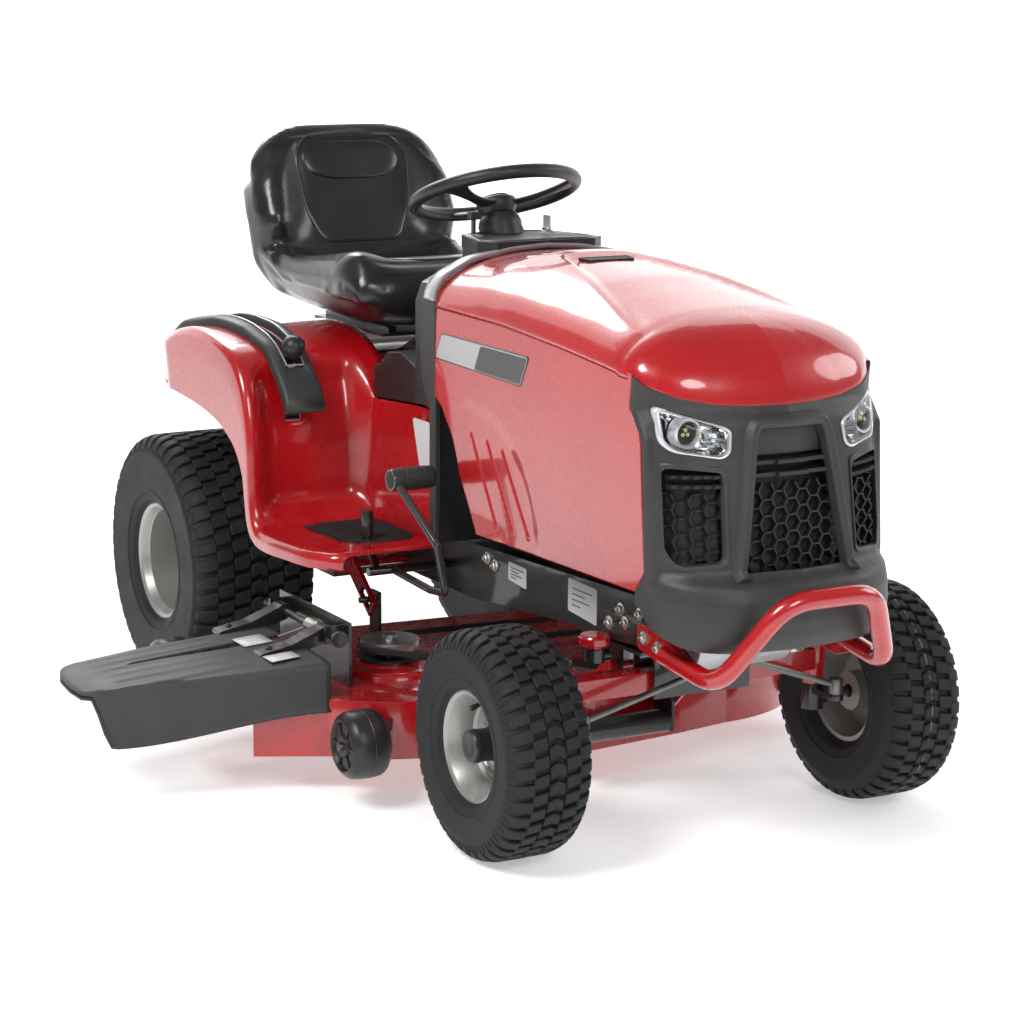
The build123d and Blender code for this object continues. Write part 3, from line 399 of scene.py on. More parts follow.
def dress(node: str, finish: Finish, bevel: float = 1.0) -> None:
    """Keeps a CAD node's own shape, with rounded edges and a finish.

    Args:
        node: the CAD node's name.
        finish: what it is covered with.
        bevel: width of the rounded edges in millimetres.
    """
    piece = bpy.data.objects[node]
    weld = piece.modifiers.new("weld", "WELD")
    weld.merge_threshold = 0.00002
    mesh = piece.data
    mesh.materials.clear()
    mesh.materials.append(finish.material())
    soften(piece, Edges(bevel=bevel))
    LOG.info("%s: CAD shape, %s", node, finish.name)


# ---- shader graph ----
class Value:
    """A shader socket that takes part in Python expressions."""

    def __init__(self, graph: Graph, socket: bpy.types.NodeSocket) -> None:
        """Wraps an output socket of a graph."""
        self.graph = graph
        self.socket = socket

    def _maths(self, operation: str, *terms: Any) -> Value:
        """Adds a Math node over the terms and returns its output."""
        node = self.graph.node("ShaderNodeMath", {"operation": operation}, dict(enumerate(terms)))
        return Value(self.graph, node.outputs[0])

    def __add__(self, other: Any) -> Value:
        """Returns self + other."""
        return self._maths("ADD", self, other)

    __radd__ = __add__

    def __sub__(self, other: Any) -> Value:
        """Returns self - other."""
        return self._maths("SUBTRACT", self, other)

    def __rsub__(self, other: Any) -> Value:
        """Returns other - self."""
        return self._maths("SUBTRACT", other, self)

    def __mul__(self, other: Any) -> Value:
        """Returns self * other."""
        return self._maths("MULTIPLY", self, other)

    __rmul__ = __mul__

    def __abs__(self) -> Value:
        """Returns the size of self."""
        return self._maths("ABSOLUTE", self)

    def below(self, limit: float) -> Value:
        """Returns 1 where self is less than a limit, else 0."""
        return self._maths("LESS_THAN", self, limit)


class Graph:
    """The node tree of one material."""

    def __init__(self, name: str) -> None:
        """Starts an empty material."""
        self.material = bpy.data.materials.new(name)
        self.material.use_nodes = True
        self.tree = self.material.node_tree
        self.tree.nodes.clear()
        place = self.node("ShaderNodeTexCoord")
        self.place = Value(self, place.outputs["Object"])

    def node(self, kind: str, settings: dict[str, Any] | None = None,
             inputs: dict[Any, Any] | None = None) -> bpy.types.Node:
        """Adds a node.

        Args:
            kind: the node's type.
            settings: the node's own properties, which are set first.
            inputs: values or links by socket name or number.

        Returns:
            The node.
        """
        node = self.tree.nodes.new(kind)
        for key, value in (settings or {}).items():
            setattr(node, key, value)
        for key, value in (inputs or {}).items():
            if isinstance(value, Value):
                self.tree.links.new(value.socket, node.inputs[key])
            else:
                node.inputs[key].default_value = value
        return node

    def noise(self, scale: float, detail: float = 3.0, stretch: Point = (1, 1, 1)) -> Value:
        """Returns cloudy noise about 0.5, so many lumps to the metre."""
        sized = self.node("ShaderNodeMapping", inputs={"Vector": self.place, "Scale": stretch})
        node = self.node("ShaderNodeTexNoise", inputs={
            "Vector": Value(self, sized.outputs[0]), "Scale": scale, "Detail": detail})
        return Value(self, node.outputs[0])

    def cells(self, scale: float, feature: str = "F1") -> Value:
        """Returns the distance to the nearest of so many cells to the metre."""
        node = self.node("ShaderNodeTexVoronoi", {"feature": feature},
                         {"Vector": self.place, "Scale": scale})
        return Value(self, node.outputs["Distance"])

    def ramp(self, value: Value, low: float, high: float) -> Value:
        """Returns value stretched so that low becomes 0 and high becomes 1."""
        node = self.node("ShaderNodeMapRange", inputs={
            "Value": value, "From Min": low, "From Max": high})
        return Value(self, node.outputs[0])

    def blend(self, amount: Value, first: Any, second: Any) -> Value:
        """Returns the first colour where amount is 0 and the second where it is 1."""
        node = self.node("ShaderNodeMix", {"data_type": "RGBA"},
                         {0: amount, 6: first, 7: second})
        return Value(self, node.outputs[2])

    def across(self, axis: str) -> Value:
        """Returns one coordinate of the surface point, in metres."""
        node = self.node("ShaderNodeSeparateXYZ", inputs={0: self.place})
        return Value(self, node.outputs[axis])

    def bump(self, height: Value, depth: float, strength: float) -> Value:
        """Returns a normal bent by a height that spans so many millimetres."""
        node = self.node("ShaderNodeBump", inputs={
            "Height": height, "Distance": depth / 1000, "Strength": strength})
        return Value(self, node.outputs[0])

    def surface(self, **inputs: Any) -> bpy.types.Material:
        """Ends the graph in a Principled shader and returns the material."""
        named = {key.replace("_", " ").title().replace("Ior", "IOR"): value
                 for key, value in inputs.items()}
        shader = self.node("ShaderNodeBsdfPrincipled", inputs=named)
        self.node("ShaderNodeOutputMaterial", inputs={0: Value(self, shader.outputs[0])})
        return self.material


Colour = tuple[float, float, float]


def rgba(colour: Colour, gain: float = 1.0) -> tuple[float, float, float, float]:
    """Returns a colour brightened by a gain, with full cover."""
    return tuple(min(1.0, c * gain) for c in colour) + (1.0,)


# ---- finishes ----
@dataclass(frozen=True)
class Finish:
    """What a piece is covered with.

    Attributes:
        name: the material's name.
        slot: the record's material slot; not used.
        colour: its base colour.
        rough: its mean roughness.
    """

    name: str
    slot: str
    colour: Colour
    rough: float = 0.4

    made: ClassVar[dict[str, bpy.types.Material]] = {}

    def material(self) -> bpy.types.Material:
        """Returns the material, made once."""
        if self.name not in self.made:
            self.made[self.name] = self.make(Graph(self.name))
        return self.made[self.name]

    def make(self, graph: Graph) -> bpy.types.Material:
        """Builds the material."""
        raise NotImplementedError


@dataclass(frozen=True)
class Paint(Finish):
    """Enamel on steel, with a faint orange-peel ripple.

    Attributes:
        coat: how much clear gloss lies over it.
        metal: how metallic its pigment is.
    """

    coat: float = 1.0
    metal: float = 0.0

    def make(self, graph: Graph) -> bpy.types.Material:
        """Builds the material."""
        broad, fine = graph.noise(5, 2), graph.noise(55, 4)
        shade = graph.blend(graph.ramp(broad, 0.3, 0.7), rgba(self.colour, 0.9),
                            rgba(self.colour, 1.06))
        film = graph.ramp(fine, 0.35, 0.75)
        colour = graph.blend(film * 0.05, shade, rgba(self.colour, 1.25))
        ripple = graph.bump(graph.noise(300, 1), 0.02, 0.12)
        return graph.surface(base_color=colour, roughness=self.rough + film * 0.04,
                             metallic=self.metal, coat_weight=self.coat, coat_roughness=0.045,
                             normal=ripple)


@dataclass(frozen=True)
class Moulding(Finish):
    """Moulded plastic with a pebbled grain.

    Attributes:
        grain: cells of the grain to the metre.
        depth: depth of the grain in millimetres.
    """

    grain: float = 620.0
    depth: float = 0.22

    def make(self, graph: Graph) -> bpy.types.Material:
        """Builds the material."""
        pebble = graph.cells(self.grain)
        haze = graph.ramp(graph.noise(14, 4), 0.3, 0.75)
        colour = graph.blend(haze * 0.5 + graph.ramp(pebble, 0.1, 0.6) * 0.35,
                             rgba(self.colour, 0.75), rgba(self.colour, 1.5))
        relief = graph.bump(pebble + graph.noise(self.grain * 1.6, 2) * 0.5, self.depth, 0.8)
        return graph.surface(base_color=colour, roughness=self.rough + haze * 0.12,
                             specular_ior_level=0.5, normal=relief)


@dataclass(frozen=True)
class Rubber(Finish):
    """Moulded rubber with a dusty bloom.

    Attributes:
        stripe: where across the machine a faint painted line runs, in metres, or None.
    """

    stripe: float | None = None

    def make(self, graph: Graph) -> bpy.types.Material:
        """Builds the material."""
        bloom = graph.ramp(graph.noise(22, 5), 0.35, 0.7)
        speck = graph.ramp(graph.noise(260, 3), 0.5, 0.72)
        colour = graph.blend(bloom * 0.6 + speck * 0.25, rgba(self.colour, 0.75),
                             rgba(self.colour, 1.7))
        if self.stripe is not None:
            line = abs(graph.across("X") - self.stripe).below(0.0011)
            broken = line * graph.ramp(graph.noise(90, 3), 0.42, 0.6) * 0.4
            colour = graph.blend(broken, colour, (0.42, 0.40, 0.34, 1))
        relief = graph.bump(graph.noise(330, 4), 0.25, 0.6)
        return graph.surface(base_color=colour, roughness=self.rough + bloom * 0.14,
                             specular_ior_level=0.35, normal=relief)


@dataclass(frozen=True)
class Metal(Finish):
    """Bare or plated metal.

    Attributes:
        brushed: stretch of the polishing marks along each axis.
        marks: how deep the marks are in millimetres.
    """

    brushed: Point = (1, 1, 1)
    marks: float = 0.03

    def make(self, graph: Graph) -> bpy.types.Material:
        """Builds the material."""
        cloud = graph.ramp(graph.noise(35, 4), 0.3, 0.7)
        marks = graph.noise(500, 3, self.brushed)
        colour = graph.blend(cloud, rgba(self.colour, 0.82), rgba(self.colour, 1.12))
        return graph.surface(base_color=colour, metallic=1.0,
                             roughness=self.rough + cloud * 0.12 + marks * 0.06,
                             normal=graph.bump(marks, self.marks, 0.5))


@dataclass(frozen=True)
class Casting(Finish):
    """Rough cast metal with a thin coat of paint."""

    def make(self, graph: Graph) -> bpy.types.Material:
        """Builds the material."""
        skin, stain = graph.noise(240, 5), graph.ramp(graph.noise(18, 4), 0.35, 0.7)
        colour = graph.blend(stain, rgba(self.colour, 0.7), rgba(self.colour, 1.35))
        return graph.surface(base_color=colour, metallic=0.5, roughness=self.rough + stain * 0.15,
                             normal=graph.bump(skin, 0.5, 0.7))


@dataclass(frozen=True)
class Vinyl(Finish):
    """Glossy moulded vinyl with a fine hide grain."""

    def make(self, graph: Graph) -> bpy.types.Material:
        """Builds the material."""
        hide = graph.cells(430, "SMOOTH_F1")
        worn = graph.ramp(graph.noise(9, 3), 0.35, 0.7)
        colour = graph.blend(worn * 0.6 + graph.ramp(hide, 0.2, 0.7) * 0.3,
                             rgba(self.colour, 0.8), rgba(self.colour, 1.5))
        relief = graph.bump(hide + graph.noise(900, 2) * 0.3, 0.11, 0.5)
        return graph.surface(base_color=colour, roughness=self.rough + worn * 0.08,
                             coat_weight=0.25, coat_roughness=0.2, normal=relief)


@dataclass(frozen=True)
class Clear(Finish):
    """Clear polycarbonate with a trace of moulding haze."""

    def make(self, graph: Graph) -> bpy.types.Material:
        """Builds the material."""
        haze = graph.ramp(graph.noise(60, 3), 0.4, 0.8)
        return graph.surface(base_color=rgba(self.colour), roughness=self.rough + haze * 0.03,
                             transmission_weight=1.0, ior=1.3,
                             normal=graph.bump(haze, 0.02, 0.3))


@dataclass(frozen=True)
class Glow(Finish):
    """Phosphor of a lamp's diodes, faintly alight."""

    def make(self, graph: Graph) -> bpy.types.Material:
        """Builds the material."""
        spot = graph.ramp(graph.cells(420), 0.0, 0.5)
        colour = graph.blend(spot, rgba(self.colour, 1.2), rgba(self.colour, 0.7))
        return graph.surface(base_color=colour, roughness=self.rough, emission_color=colour,
                             emission_strength=0.35)


class Kit:
    """The machine's finishes."""

    red = Paint("red_enamel", "red_paint", (0.43, 0.004, 0.007), 0.26)
    black = Paint("black_enamel", "black_paint", (0.012, 0.012, 0.013), 0.34, coat=0.5)
    rim = Paint("silver_rim_enamel", "rim_paint", (0.36, 0.355, 0.34), 0.38, coat=0.3, metal=0.5)
    silver = Paint("silver_trim_lacquer", "silver_plastic", (0.44, 0.45, 0.46), 0.32, coat=0.4,
                   metal=0.35)
    shell = Moulding("grille_plastic", "dark_plastic", (0.026, 0.027, 0.026), 0.42)
    plastic = Moulding("black_plastic", "black_plastic", (0.014, 0.014, 0.015), 0.34, grain=900,
                       depth=0.10)
    chute = Moulding("deflector_plastic", "dark_plastic", (0.030, 0.032, 0.031), 0.50,
                     grain=520, depth=0.3)
    mesh = Moulding("mesh_plastic", "black_plastic", (0.013, 0.014, 0.014), 0.4, grain=900,
                    depth=0.08)
    pad = Rubber("tread_rubber_pad", "rubber", (0.020, 0.022, 0.022), 0.58)
    tyre = Rubber("tyre_rubber", "tyre", (0.014, 0.015, 0.0155), 0.62)
    stripe = Rubber("striped_tyre_rubber", "tyre", (0.014, 0.015, 0.0155), 0.62, stripe=0.513)
    belt = Rubber("belt_rubber", "belt", (0.020, 0.020, 0.020), 0.6)
    rod = Metal("rod_plate", "zinc", (0.20, 0.20, 0.19), 0.36)
    zinc = Metal("zinc_plate", "zinc", (0.66, 0.65, 0.60), 0.26)
    steel = Metal("bright_steel", "steel", (0.42, 0.42, 0.43), 0.3, brushed=(1, 8, 8))
    chrome = Metal("lamp_chrome", "lamp", (0.86, 0.87, 0.88), 0.07, marks=0.004)
    bezel = Paint("lamp_bezel_lacquer", "lamp", (0.70, 0.71, 0.73), 0.18, coat=1.0, metal=0.4)
    cast = Casting("cast_housing", "cast", (0.055, 0.055, 0.058), 0.5)
    vinyl = Vinyl("seat_vinyl", "vinyl", (0.012, 0.012, 0.014), 0.27)
    clear = Clear("lamp_cover", "lamp", (0.97, 0.98, 1.0), 0.02)
    diode = Glow("lamp_diode", "lamp", (0.75, 0.66, 0.20), 0.3)
    label = Paint("label_film", "silver_plastic", (0.66, 0.67, 0.68), 0.42, coat=0.2)
    ink = Paint("label_ink", "black_plastic", (0.10, 0.10, 0.11), 0.45, coat=0.1)


# ---- hood ----
@dataclass(frozen=True)
class Hood:
    """The tilting hood's top, side panels, scoop and plates."""

    body: str = "hood"
    half: float = 225.6
    rear: float = -118.0
    seam: Line = ((-900, 792), (-775, 804), (-689, 813), (-562, 824), (-358, 837), (-117, 840))
    crown: Line = ((-900, 842), (-850, 861), (-790, 876), (-712, 894), (-600, 913),
                   (-490, 928), (-360, 937), (-260, 940), (-117, 927))
    plan: Line = ((225.6, -740), (224, -770), (212, -800), (175, -836), (120, -858), (60, -872),
                  (0, -880))
    lip: Line = ((0, 757), (60, 758), (120, 762), (175, 774), (212, 792), (226, 804))
    panel: Line = ((-782, 805), (-777, 753), (-813, 708), (-829, 499), (-801, 463))
    tail: Line = ((-117, 839), (-92, 704), (-98, 684), (-137, 665), (-183, 613), (-214, 542),
                  (-266, 453))
    ribs: Line = ((-251, 628, -340, 483), (-310, 623, -398, 485), (-364, 616, -454, 484))
    badge: Line = ((-140, 792), (-117, 744), (-430, 736), (-456, 790))
    spine_end: float = -700.0

    def seam_z(self, y: float) -> float:
        """Returns the seam's height at a station."""
        return float(np.interp(y, *zip(*self.seam)))

    def crown_z(self, y: float) -> float:
        """Returns the crown's height at a station."""
        return float(np.interp(y, *zip(*self.crown)))

    def edge(self) -> np.ndarray:
        """Returns the left half of the top's lower edge, rear to nose, in space."""
        side = [(self.half, y, self.seam_z(y)) for y in np.linspace(self.rear, -735, 40)]
        nose = flowing(self.plan, 46)[1:]
        height = [float(np.interp(x, *zip(*self.lip))) for x, _ in nose]
        return np.array(side + [(x, y, z) for (x, y), z in zip(nose, height)])

    def panel_drop(self, x: float, y: float) -> float:
        """Returns how far the sunk centre panel lies below the top's own surface."""
        wide = 66 + max(0.0, -y - 300) * 0.26
        inside = 1 - step(abs(x), wide - 9, wide + 9)
        return 8.5 * inside * step(-y, 292, 306) * (1 - step(-y, 560, 800))

    def top(self) -> None:
        """Builds the top from lines that run from its edge up to its spine."""
        columns = []
        half = self.edge()
        for x, y, z in list(half) + [(-x, y, z) for x, y, z in half[-2::-1]]:
            spine = y if y > self.spine_end else self.spine_end + (y - self.spine_end) * 0.3
            line = [(x, y, z - 7), (x, y, z)]
            for t in np.linspace(0, 1, 30)[1:] ** 1.25:
                px, py = x * (1 - t), y + (spine - y) * t
                rise = (1 - (1 - t) ** 2.35) ** 0.52
                pz = z + (self.crown_z(py) - z) * rise - self.panel_drop(px, py)
                line.append((px, py, pz))
            columns.append(line)
        Shape().grid(columns).build("hood_skin", Kit.red, self.body, ["hood_top"],
                                    Edges(thick=2.6, sharp=50))

    def scoop(self) -> None:
        """Builds the dark louvred inlet let into the top."""
        tilt = math.atan2(self.crown_z(-350) - self.crown_z(-310), 40)
        place = Matrix.Translation((0, -326, self.crown_z(-326) - 7.2)) @ \
            Matrix.Rotation(-tilt, 4, "X")
        ring = loop_eased([(-46, -19), (46, -19), (50, 16), (-50, 16)], 6)
        inner = [(x * 0.93, y * 0.8) for x, y in ring]
        rows = [[(x, y, z) for x, y in line] for line, z in
                ((ring, -2), (ring, 1.6), (inner, 1.6), (inner, -1.2))]
        shape = Shape().grid(rows, ring=True, caps=True)
        for y in (-9, 0, 9):
            shape.prism([(y - 2.4, -1), (y + 1.6, -1), (y + 3.2, 1.1), (y - 0.6, 1.1)], Along.X,
                        -43, 43)
        shape.turned(place).build("hood_scoop", Kit.plastic, self.body)

    def relief(self, y: float, z: float) -> float:
        """Returns how far the side panel stands out at a place."""
        out = 0.0
        for y0, z0, y1, z1 in self.ribs:
            along, across = Vector((y1 - y0, z1 - z0)), Vector((y - y0, z - z0))
            t = min(1.0, max(0.0, across.dot(along) / along.length_squared))
            gap = (across - along * t).length
            out += 3.0 * (1 - step(gap, 0.2, 3.6))
            out += 1.8 * (1 - step((Vector((y - y1, z - z1))).length, 2, 7))
        arc = math.hypot((y + 250) / 1.05, z - 452)
        out -= 1.7 * (1 - step(arc, 212, 240)) * step(-y, 205, 250)
        return out + 2.2 * math.sin(math.pi * min(1.0, max(0.0, (z - 455) / 380)))

    def side(self, name: str) -> None:
        """Builds one side panel as a patch between its four edges."""
        side = SIDES[name]
        top = even([(y, self.seam_z(y) - 1) for y in np.linspace(-782, -117, 30)], 260)
        low = even([(-801, 463), (-560, 459), (-266, 453)], 260)
        front = eased(self.panel, 9)
        back = eased(self.tail, 12)
        front, back = even(front, 150), even(back, 150)
        rows = []
        for j, v in enumerate(np.linspace(0, 1, 150)):
            row = []
            for i, u in enumerate(np.linspace(0, 1, 260)):
                p = (1 - v) * top[i] + v * low[i] + (1 - u) * front[j] + u * back[j]
                p -= ((1 - u) * (1 - v) * top[0] + u * (1 - v) * top[-1]
                      + (1 - u) * v * low[0] + u * v * low[-1])
                row.append((side * (self.half - 2.4 + self.relief(p[0], p[1])), p[0], p[1]))
            rows.append(row)
        Shape().grid(rows).build("hood_panel_" + name, Kit.red, self.body,
                                 ["hood_side_" + name], Edges(thick=2.4, sharp=60))

    def plates(self, name: str) -> None:
        """Builds the plain two-part plate on one side panel."""
        side = SIDES[name]
        base = side * (self.half + self.relief(-280, 765) - 2.6)
        mid = np.mean(self.badge, axis=0)

        def shrunk(points: Line, amount: float) -> list[Point]:
            """Returns an outline drawn in towards the plate's middle, with round corners."""
            near = [tuple(np.array(p) + (mid - p) * np.array([amount / 160, amount / 26]))
                    for p in points]
            return list(loop_eased(near, 7))

        a, b, c, d = (np.array(p, float) for p in self.badge)
        cut_low, cut_high = b + (c - b) * 0.47, a + (d - a) * 0.47
        layers = (("rim", self.badge, 0.0, 1.3, Kit.black), ("bright", self.badge, 2.4, 1.9,
                                                            Kit.silver),
                  ("dark", (cut_high, cut_low, c, d), 3.6, 2.4, Kit.black))
        for word, points, inset, high, finish in layers:
            outline = shrunk(points, inset)
            Shape().prism(outline, Along.X, base - side * 2, base + side * high).build(
                f"plate_{word}_{name}", finish, self.body, edges=Edges(bevel=0.5))

    def make(self) -> None:
        """Builds the whole hood."""
        self.top()
        self.scoop()
        for name in SIDES:
            self.side(name)
            self.plates(name)


@dataclass
class Grille:
    """The moulded nose with its mesh openings, ribs and headlamps."""

    body: str = "hood"
    edge: Line = ((380, -800), (463, -803), (499, -830), (708, -815), (753, -779), (806, -784))
    depth: Line = ((372, 0.60), (384, 0.86), (402, 0.96), (430, 1.0), (462, 0.98), (486, 0.88),
                   (497, 0.66), (505, 0.58), (560, 0.50), (650, 0.36), (734, 0.20), (757, 0.03),
                   (806, 0.0))
    top: Line = ((222, -786), (205, -810), (175, -836), (120, -857), (60, -870), (0, -879))
    low: Line = ((219, -852), (203, -886), (178, -917), (120, -951), (60, -962), (0, -966))
    lip: Line = ((0, 756), (60, 757), (120, 761), (175, 773), (212, 790), (226, 802))
    lamp: Line = ((208, 760), (206, 706), (192, 690), (120, 679), (106, 688), (102, 721),
                  (110, 729))
    vent: Line = ((203, 668), (203, 536), (190, 512), (122, 519), (119, 661))
    mouth: Line = ((61, 723), (99, 503), (-99, 503), (-61, 723))
    cell: float = 14.6
    sections: dict[int, np.ndarray] = field(default_factory=dict)

    def section(self, z: float) -> np.ndarray:
        """Returns the left half of the nose's outline at a height, side to centre."""
        key = round(z)
        if key not in self.sections:
            k = float(np.interp(z, *zip(*self.depth)))
            start = float(np.interp(z, *zip(*self.edge)))
            inner = [np.array(a) * (1 - k) + np.array(b) * k for a, b in zip(self.top, self.low)]
            inner[0][1] = min(inner[0][1], start - 12)
            self.sections[key] = flowing([(224.6, start)] + inner, 61)
        return self.sections[key]

    def front(self, x: float, z: float) -> float:
        """Returns how far forward the nose stands at a place seen from the front."""
        line = self.section(z)[::-1]
        return float(np.interp(abs(x), line[:, 0], line[:, 1]))

    def skin(self) -> bpy.types.Object:
        """Builds the plain nose, turned under at its chin."""
        rows = []
        for v in np.r_[0.0, np.linspace(0.004, 1, 74)]:
            row = []
            for i in range(61):
                x0 = self.section(600)[i][0]
                high = float(np.interp(x0, *zip(*self.lip)))
                low = 379 + 68 * (x0 / 226) ** 6
                z = high + (low - high) * v
                x, y = self.section(z)[i]
                row.append((x, y, z))
            rows.append(row + [(-x, y, z) for x, y, z in row[-2::-1]])
        rows.append([(x * 0.97, y * 0.97 - 20, z + 3) for x, y, z in rows[-1]])
        return Shape().grid(rows).build("nose_moulding", Kit.shell, self.body,
                                        ["grille_shell", "headlamps"],
                                        Edges(thick=4.5, sharp=50))

    def carve(self, piece: bpy.types.Object) -> None:
        """Cuts the lamp, vent and mouth openings through the nose."""
        outlines = [self.mouth]
        for side in (-1, 1):
            outlines += [[(side * x, z) for x, z in line] for line in (self.lamp, self.vent)]
        for k, outline in enumerate(outlines):
            shape = Shape().prism(loop_eased(outline, 9), Along.Y, -1000, -740)
            cut = piece.modifiers.new("opening", "BOOLEAN")
            cut.operation, cut.solver = "DIFFERENCE", "EXACT"
            cut.object = placed(f"cutter_{k}", shape.mesh(f"cutter_{k}"))
        graph = bpy.context.evaluated_depsgraph_get()
        carved = bpy.data.meshes.new_from_object(piece.evaluated_get(graph))
        piece.modifiers.clear()
        piece.data = carved
        for k in range(len(outlines)):
            bpy.data.objects.remove(bpy.data.objects[f"cutter_{k}"])
        carved.set_sharp_from_angle(angle=math.radians(40))

    def laid(self, points: Line, sink: float) -> list[tuple[float, float, float]]:
        """Lays a front-view line on the nose, so many millimetres behind its face."""
        return [(x, self.front(x, z) + sink, z) for x, z in points]

    def rib(self) -> None:
        """Builds the raised frame round the mouth and the beads round the vents."""
        half = [(104, 492), (97, 540), (88, 600), (78, 668), (70, 716), (61, 733)]
        path = even(eased(mirrored(half), 9), 90)
        section = [(-13, 6), (-10, -4), (-5.5, -11), (1, -12), (8, -9), (13, 6)]
        shape = Shape().sweep(self.laid(path, 1), section, up=(0, 1, 0))
        shape.build("mouth_rib", Kit.shell, self.body, edges=Edges(bevel=1.2))
        for name, side in SIDES.items():
            loop = loop_eased([(side * x, z) for x, z in self.vent], 12, 6)
            mid = loop.mean(axis=0)
            rows = []
            for grow, sink in ((1.09, 3), (1.08, -2.2), (1.02, -3.4), (0.98, -1.5), (0.975, 12)):
                rows.append(self.laid(mid + (loop - mid) * grow, sink))
            Shape().grid(rows, ring=True).build("vent_bead_" + name, Kit.shell, self.body,
                                                edges=Edges(sharp=60))

    def comb(self, outline: Line, top: float) -> Shape:
        """Builds hexagonal mesh inside an outline, below a height."""
        shape = Shape()
        r, done = self.cell, set()
        for i in range(-9, 10):
            for j in range(12):
                cx = i * 1.5 * r
                cz = 498 + (j + 0.5 * (i % 2)) * math.sqrt(3) * r
                ring = [(cx + r * math.cos(a), cz + r * math.sin(a))
                        for a in np.arange(6) * math.pi / 3]
                for p, q in zip(ring, ring[1:] + ring[:1]):
                    mx, mz = (p[0] + q[0]) / 2, (p[1] + q[1]) / 2
                    key = (round(mx), round(mz))
                    if key in done or mz > top or not within((mx, mz), outline):
                        continue
                    done.add(key)
                    y = self.front(mx, min(mz, 730)) + 12
                    way = Vector((q[0] - p[0], q[1] - p[1])).normalized()
                    n = Vector((-way.y, way.x)) * 1.25
                    flat = [(p[0] + n.x, p[1] + n.y), (q[0] + n.x, q[1] + n.y),
                            (q[0] - n.x, q[1] - n.y), (p[0] - n.x, p[1] - n.y)]
                    shape.prism(flat, Along.Y, y, y + 13)
        return shape

    def bar(self, shape: Shape, z: float, low: float, high: float, face: Point,
            root: Point) -> None:
        """Adds a tapered bar; face and root are how far back and how thick its ends are."""
        y = self.front((low + high) / 2, z)
        (y0, t0), (y1, t1) = face, root
        shape.prism([(y + y0, z - t0), (y + y1, z - t1), (y + y1, z + t1), (y + y0, z + t0)],
                    Along.X, low, high)

    def openings(self) -> None:
        """Fills the mouth and the vents: panel, bars, mesh and the dark wall behind."""
        shape = self.comb([(58, 740), (106, 498), (-106, 498), (-58, 740)], 637)
        for z in (652, 671):
            for low, high in ((-84, -28), (-28, 28), (28, 84)):
                self.bar(shape, z, low, high, (4, 3), (24, 4))
        shape.build("mouth_mesh", Kit.mesh, self.body)
        rows = [self.laid([(x, z) for x in np.linspace(-1, 1, 21) * (66 + (726 - z) * 0.28)],
                          sink) for z, sink in ((728, 3), (722, 9), (690, 13), (681, 16),
                                                (678, 26))]
        Shape().grid(rows).build("mouth_panel", Kit.shell, self.body, edges=Edges(thick=2))
        for name, side in SIDES.items():
            outline = [(side * x, z) for x, z in self.vent]
            shape = self.comb(outline, 628)
            for z in (637, 652):
                for k in range(5):
                    low, high = span(side, 118 + k * 15, 134 + k * 15)
                    self.bar(shape, z, low, high, (3, 2.6), (22, 3.4))
            shape.build("vent_mesh_" + name, Kit.mesh, self.body)
        for word, low, high in (("mouth", -112, 112), ("right", -212, -110), ("left", 110, 212)):
            rows = [self.laid([(x, z) for x in np.linspace(low, high, 12)], 30)
                    for z in np.linspace(492, 735 if word == "mouth" else 668, 12)]
            Shape().grid(rows).build("dark_wall_" + word, Kit.mesh, self.body,
                                     edges=Edges(thick=1.5))

    def lamps(self, name: str) -> None:
        """Builds one headlamp: bezel, bowl, projector, diodes and clear cover."""
        side = SIDES[name]
        loop = loop_eased([(side * x, z) for x, z in self.lamp], 10, 6)
        mid = loop.mean(axis=0)

        def ring(grow: float, sink: float) -> list[Point]:
            """Returns the lamp's outline drawn in and set back."""
            return self.laid(mid + (loop - mid) * grow, sink)

        rim = [ring(0.985, 8), ring(0.985, -1), ring(0.95, -3.6), ring(0.90, -3.8),
               ring(0.86, -1), ring(0.85, 4)]
        Shape().grid(rim, ring=True).build("lamp_bezel_" + name, Kit.bezel, self.body,
                                           edges=Edges(sharp=70))
        bowl = [ring(0.86, 2), ring(0.84, 4), ring(0.80, 5), ring(0.74, 15), ring(0.60, 26),
                ring(0.30, 29)]
        shape = Shape().grid(bowl, ring=True)
        shape.bm.faces.new([shape.bm.verts.new(Vector(p)) for p in bowl[-1]])
        x, z = side * 128, 706
        y = self.front(x, z)
        for k in range(3):
            shape.prism([(y + 9 + k, z - 9 + k * 7), (y + 30, z - 9 + k * 7),
                         (y + 30, z - 4 + k * 7), (y + 13 + k, z - 4 + k * 7)], Along.X,
                        x - 14, x + 14)
        shape.build("lamp_bowl_" + name, Kit.chrome, self.body, edges=Edges(sharp=30))
        x, z = side * 163, 718
        y = self.front(x, z)
        tube = [(-30, 24), (-12, 24), (-8, 22.5), (-8, 19.5), (-12, 18), (-22, 15)]
        Shape().lathe(tube, (x, y, z), (0, -1, 0), 40).build(
            "projector_ring_" + name, Kit.bezel, self.body, edges=Edges(sharp=50))
        lens = [(-14, 17.5), (-11, 15.6), (-8.6, 12), (-7.2, 7), (-6.8, 0)]
        Shape().lathe(lens, (x, y, z), (0, -1, 0), 36).build(
            "projector_lens_" + name, Kit.clear, self.body)
        eye = Shape().lathe([(-19, 0), (-19, 15), (-23, 15)], (x, y, z), (0, -1, 0), 30)
        eye.build("projector_iris_" + name, Kit.plastic, self.body)
        spots = Shape()
        for k in range(3):
            a = math.radians(90 + 120 * k)
            at = (x + 4.2 * math.cos(a), y + 18.9, z + 4.2 * math.sin(a))
            spots.lathe([(0, 3.0), (0.8, 2.6), (1.1, 0)], at, (0, -1, 0), 6)
        spots.build("lamp_diodes_" + name, Kit.diode, self.body)
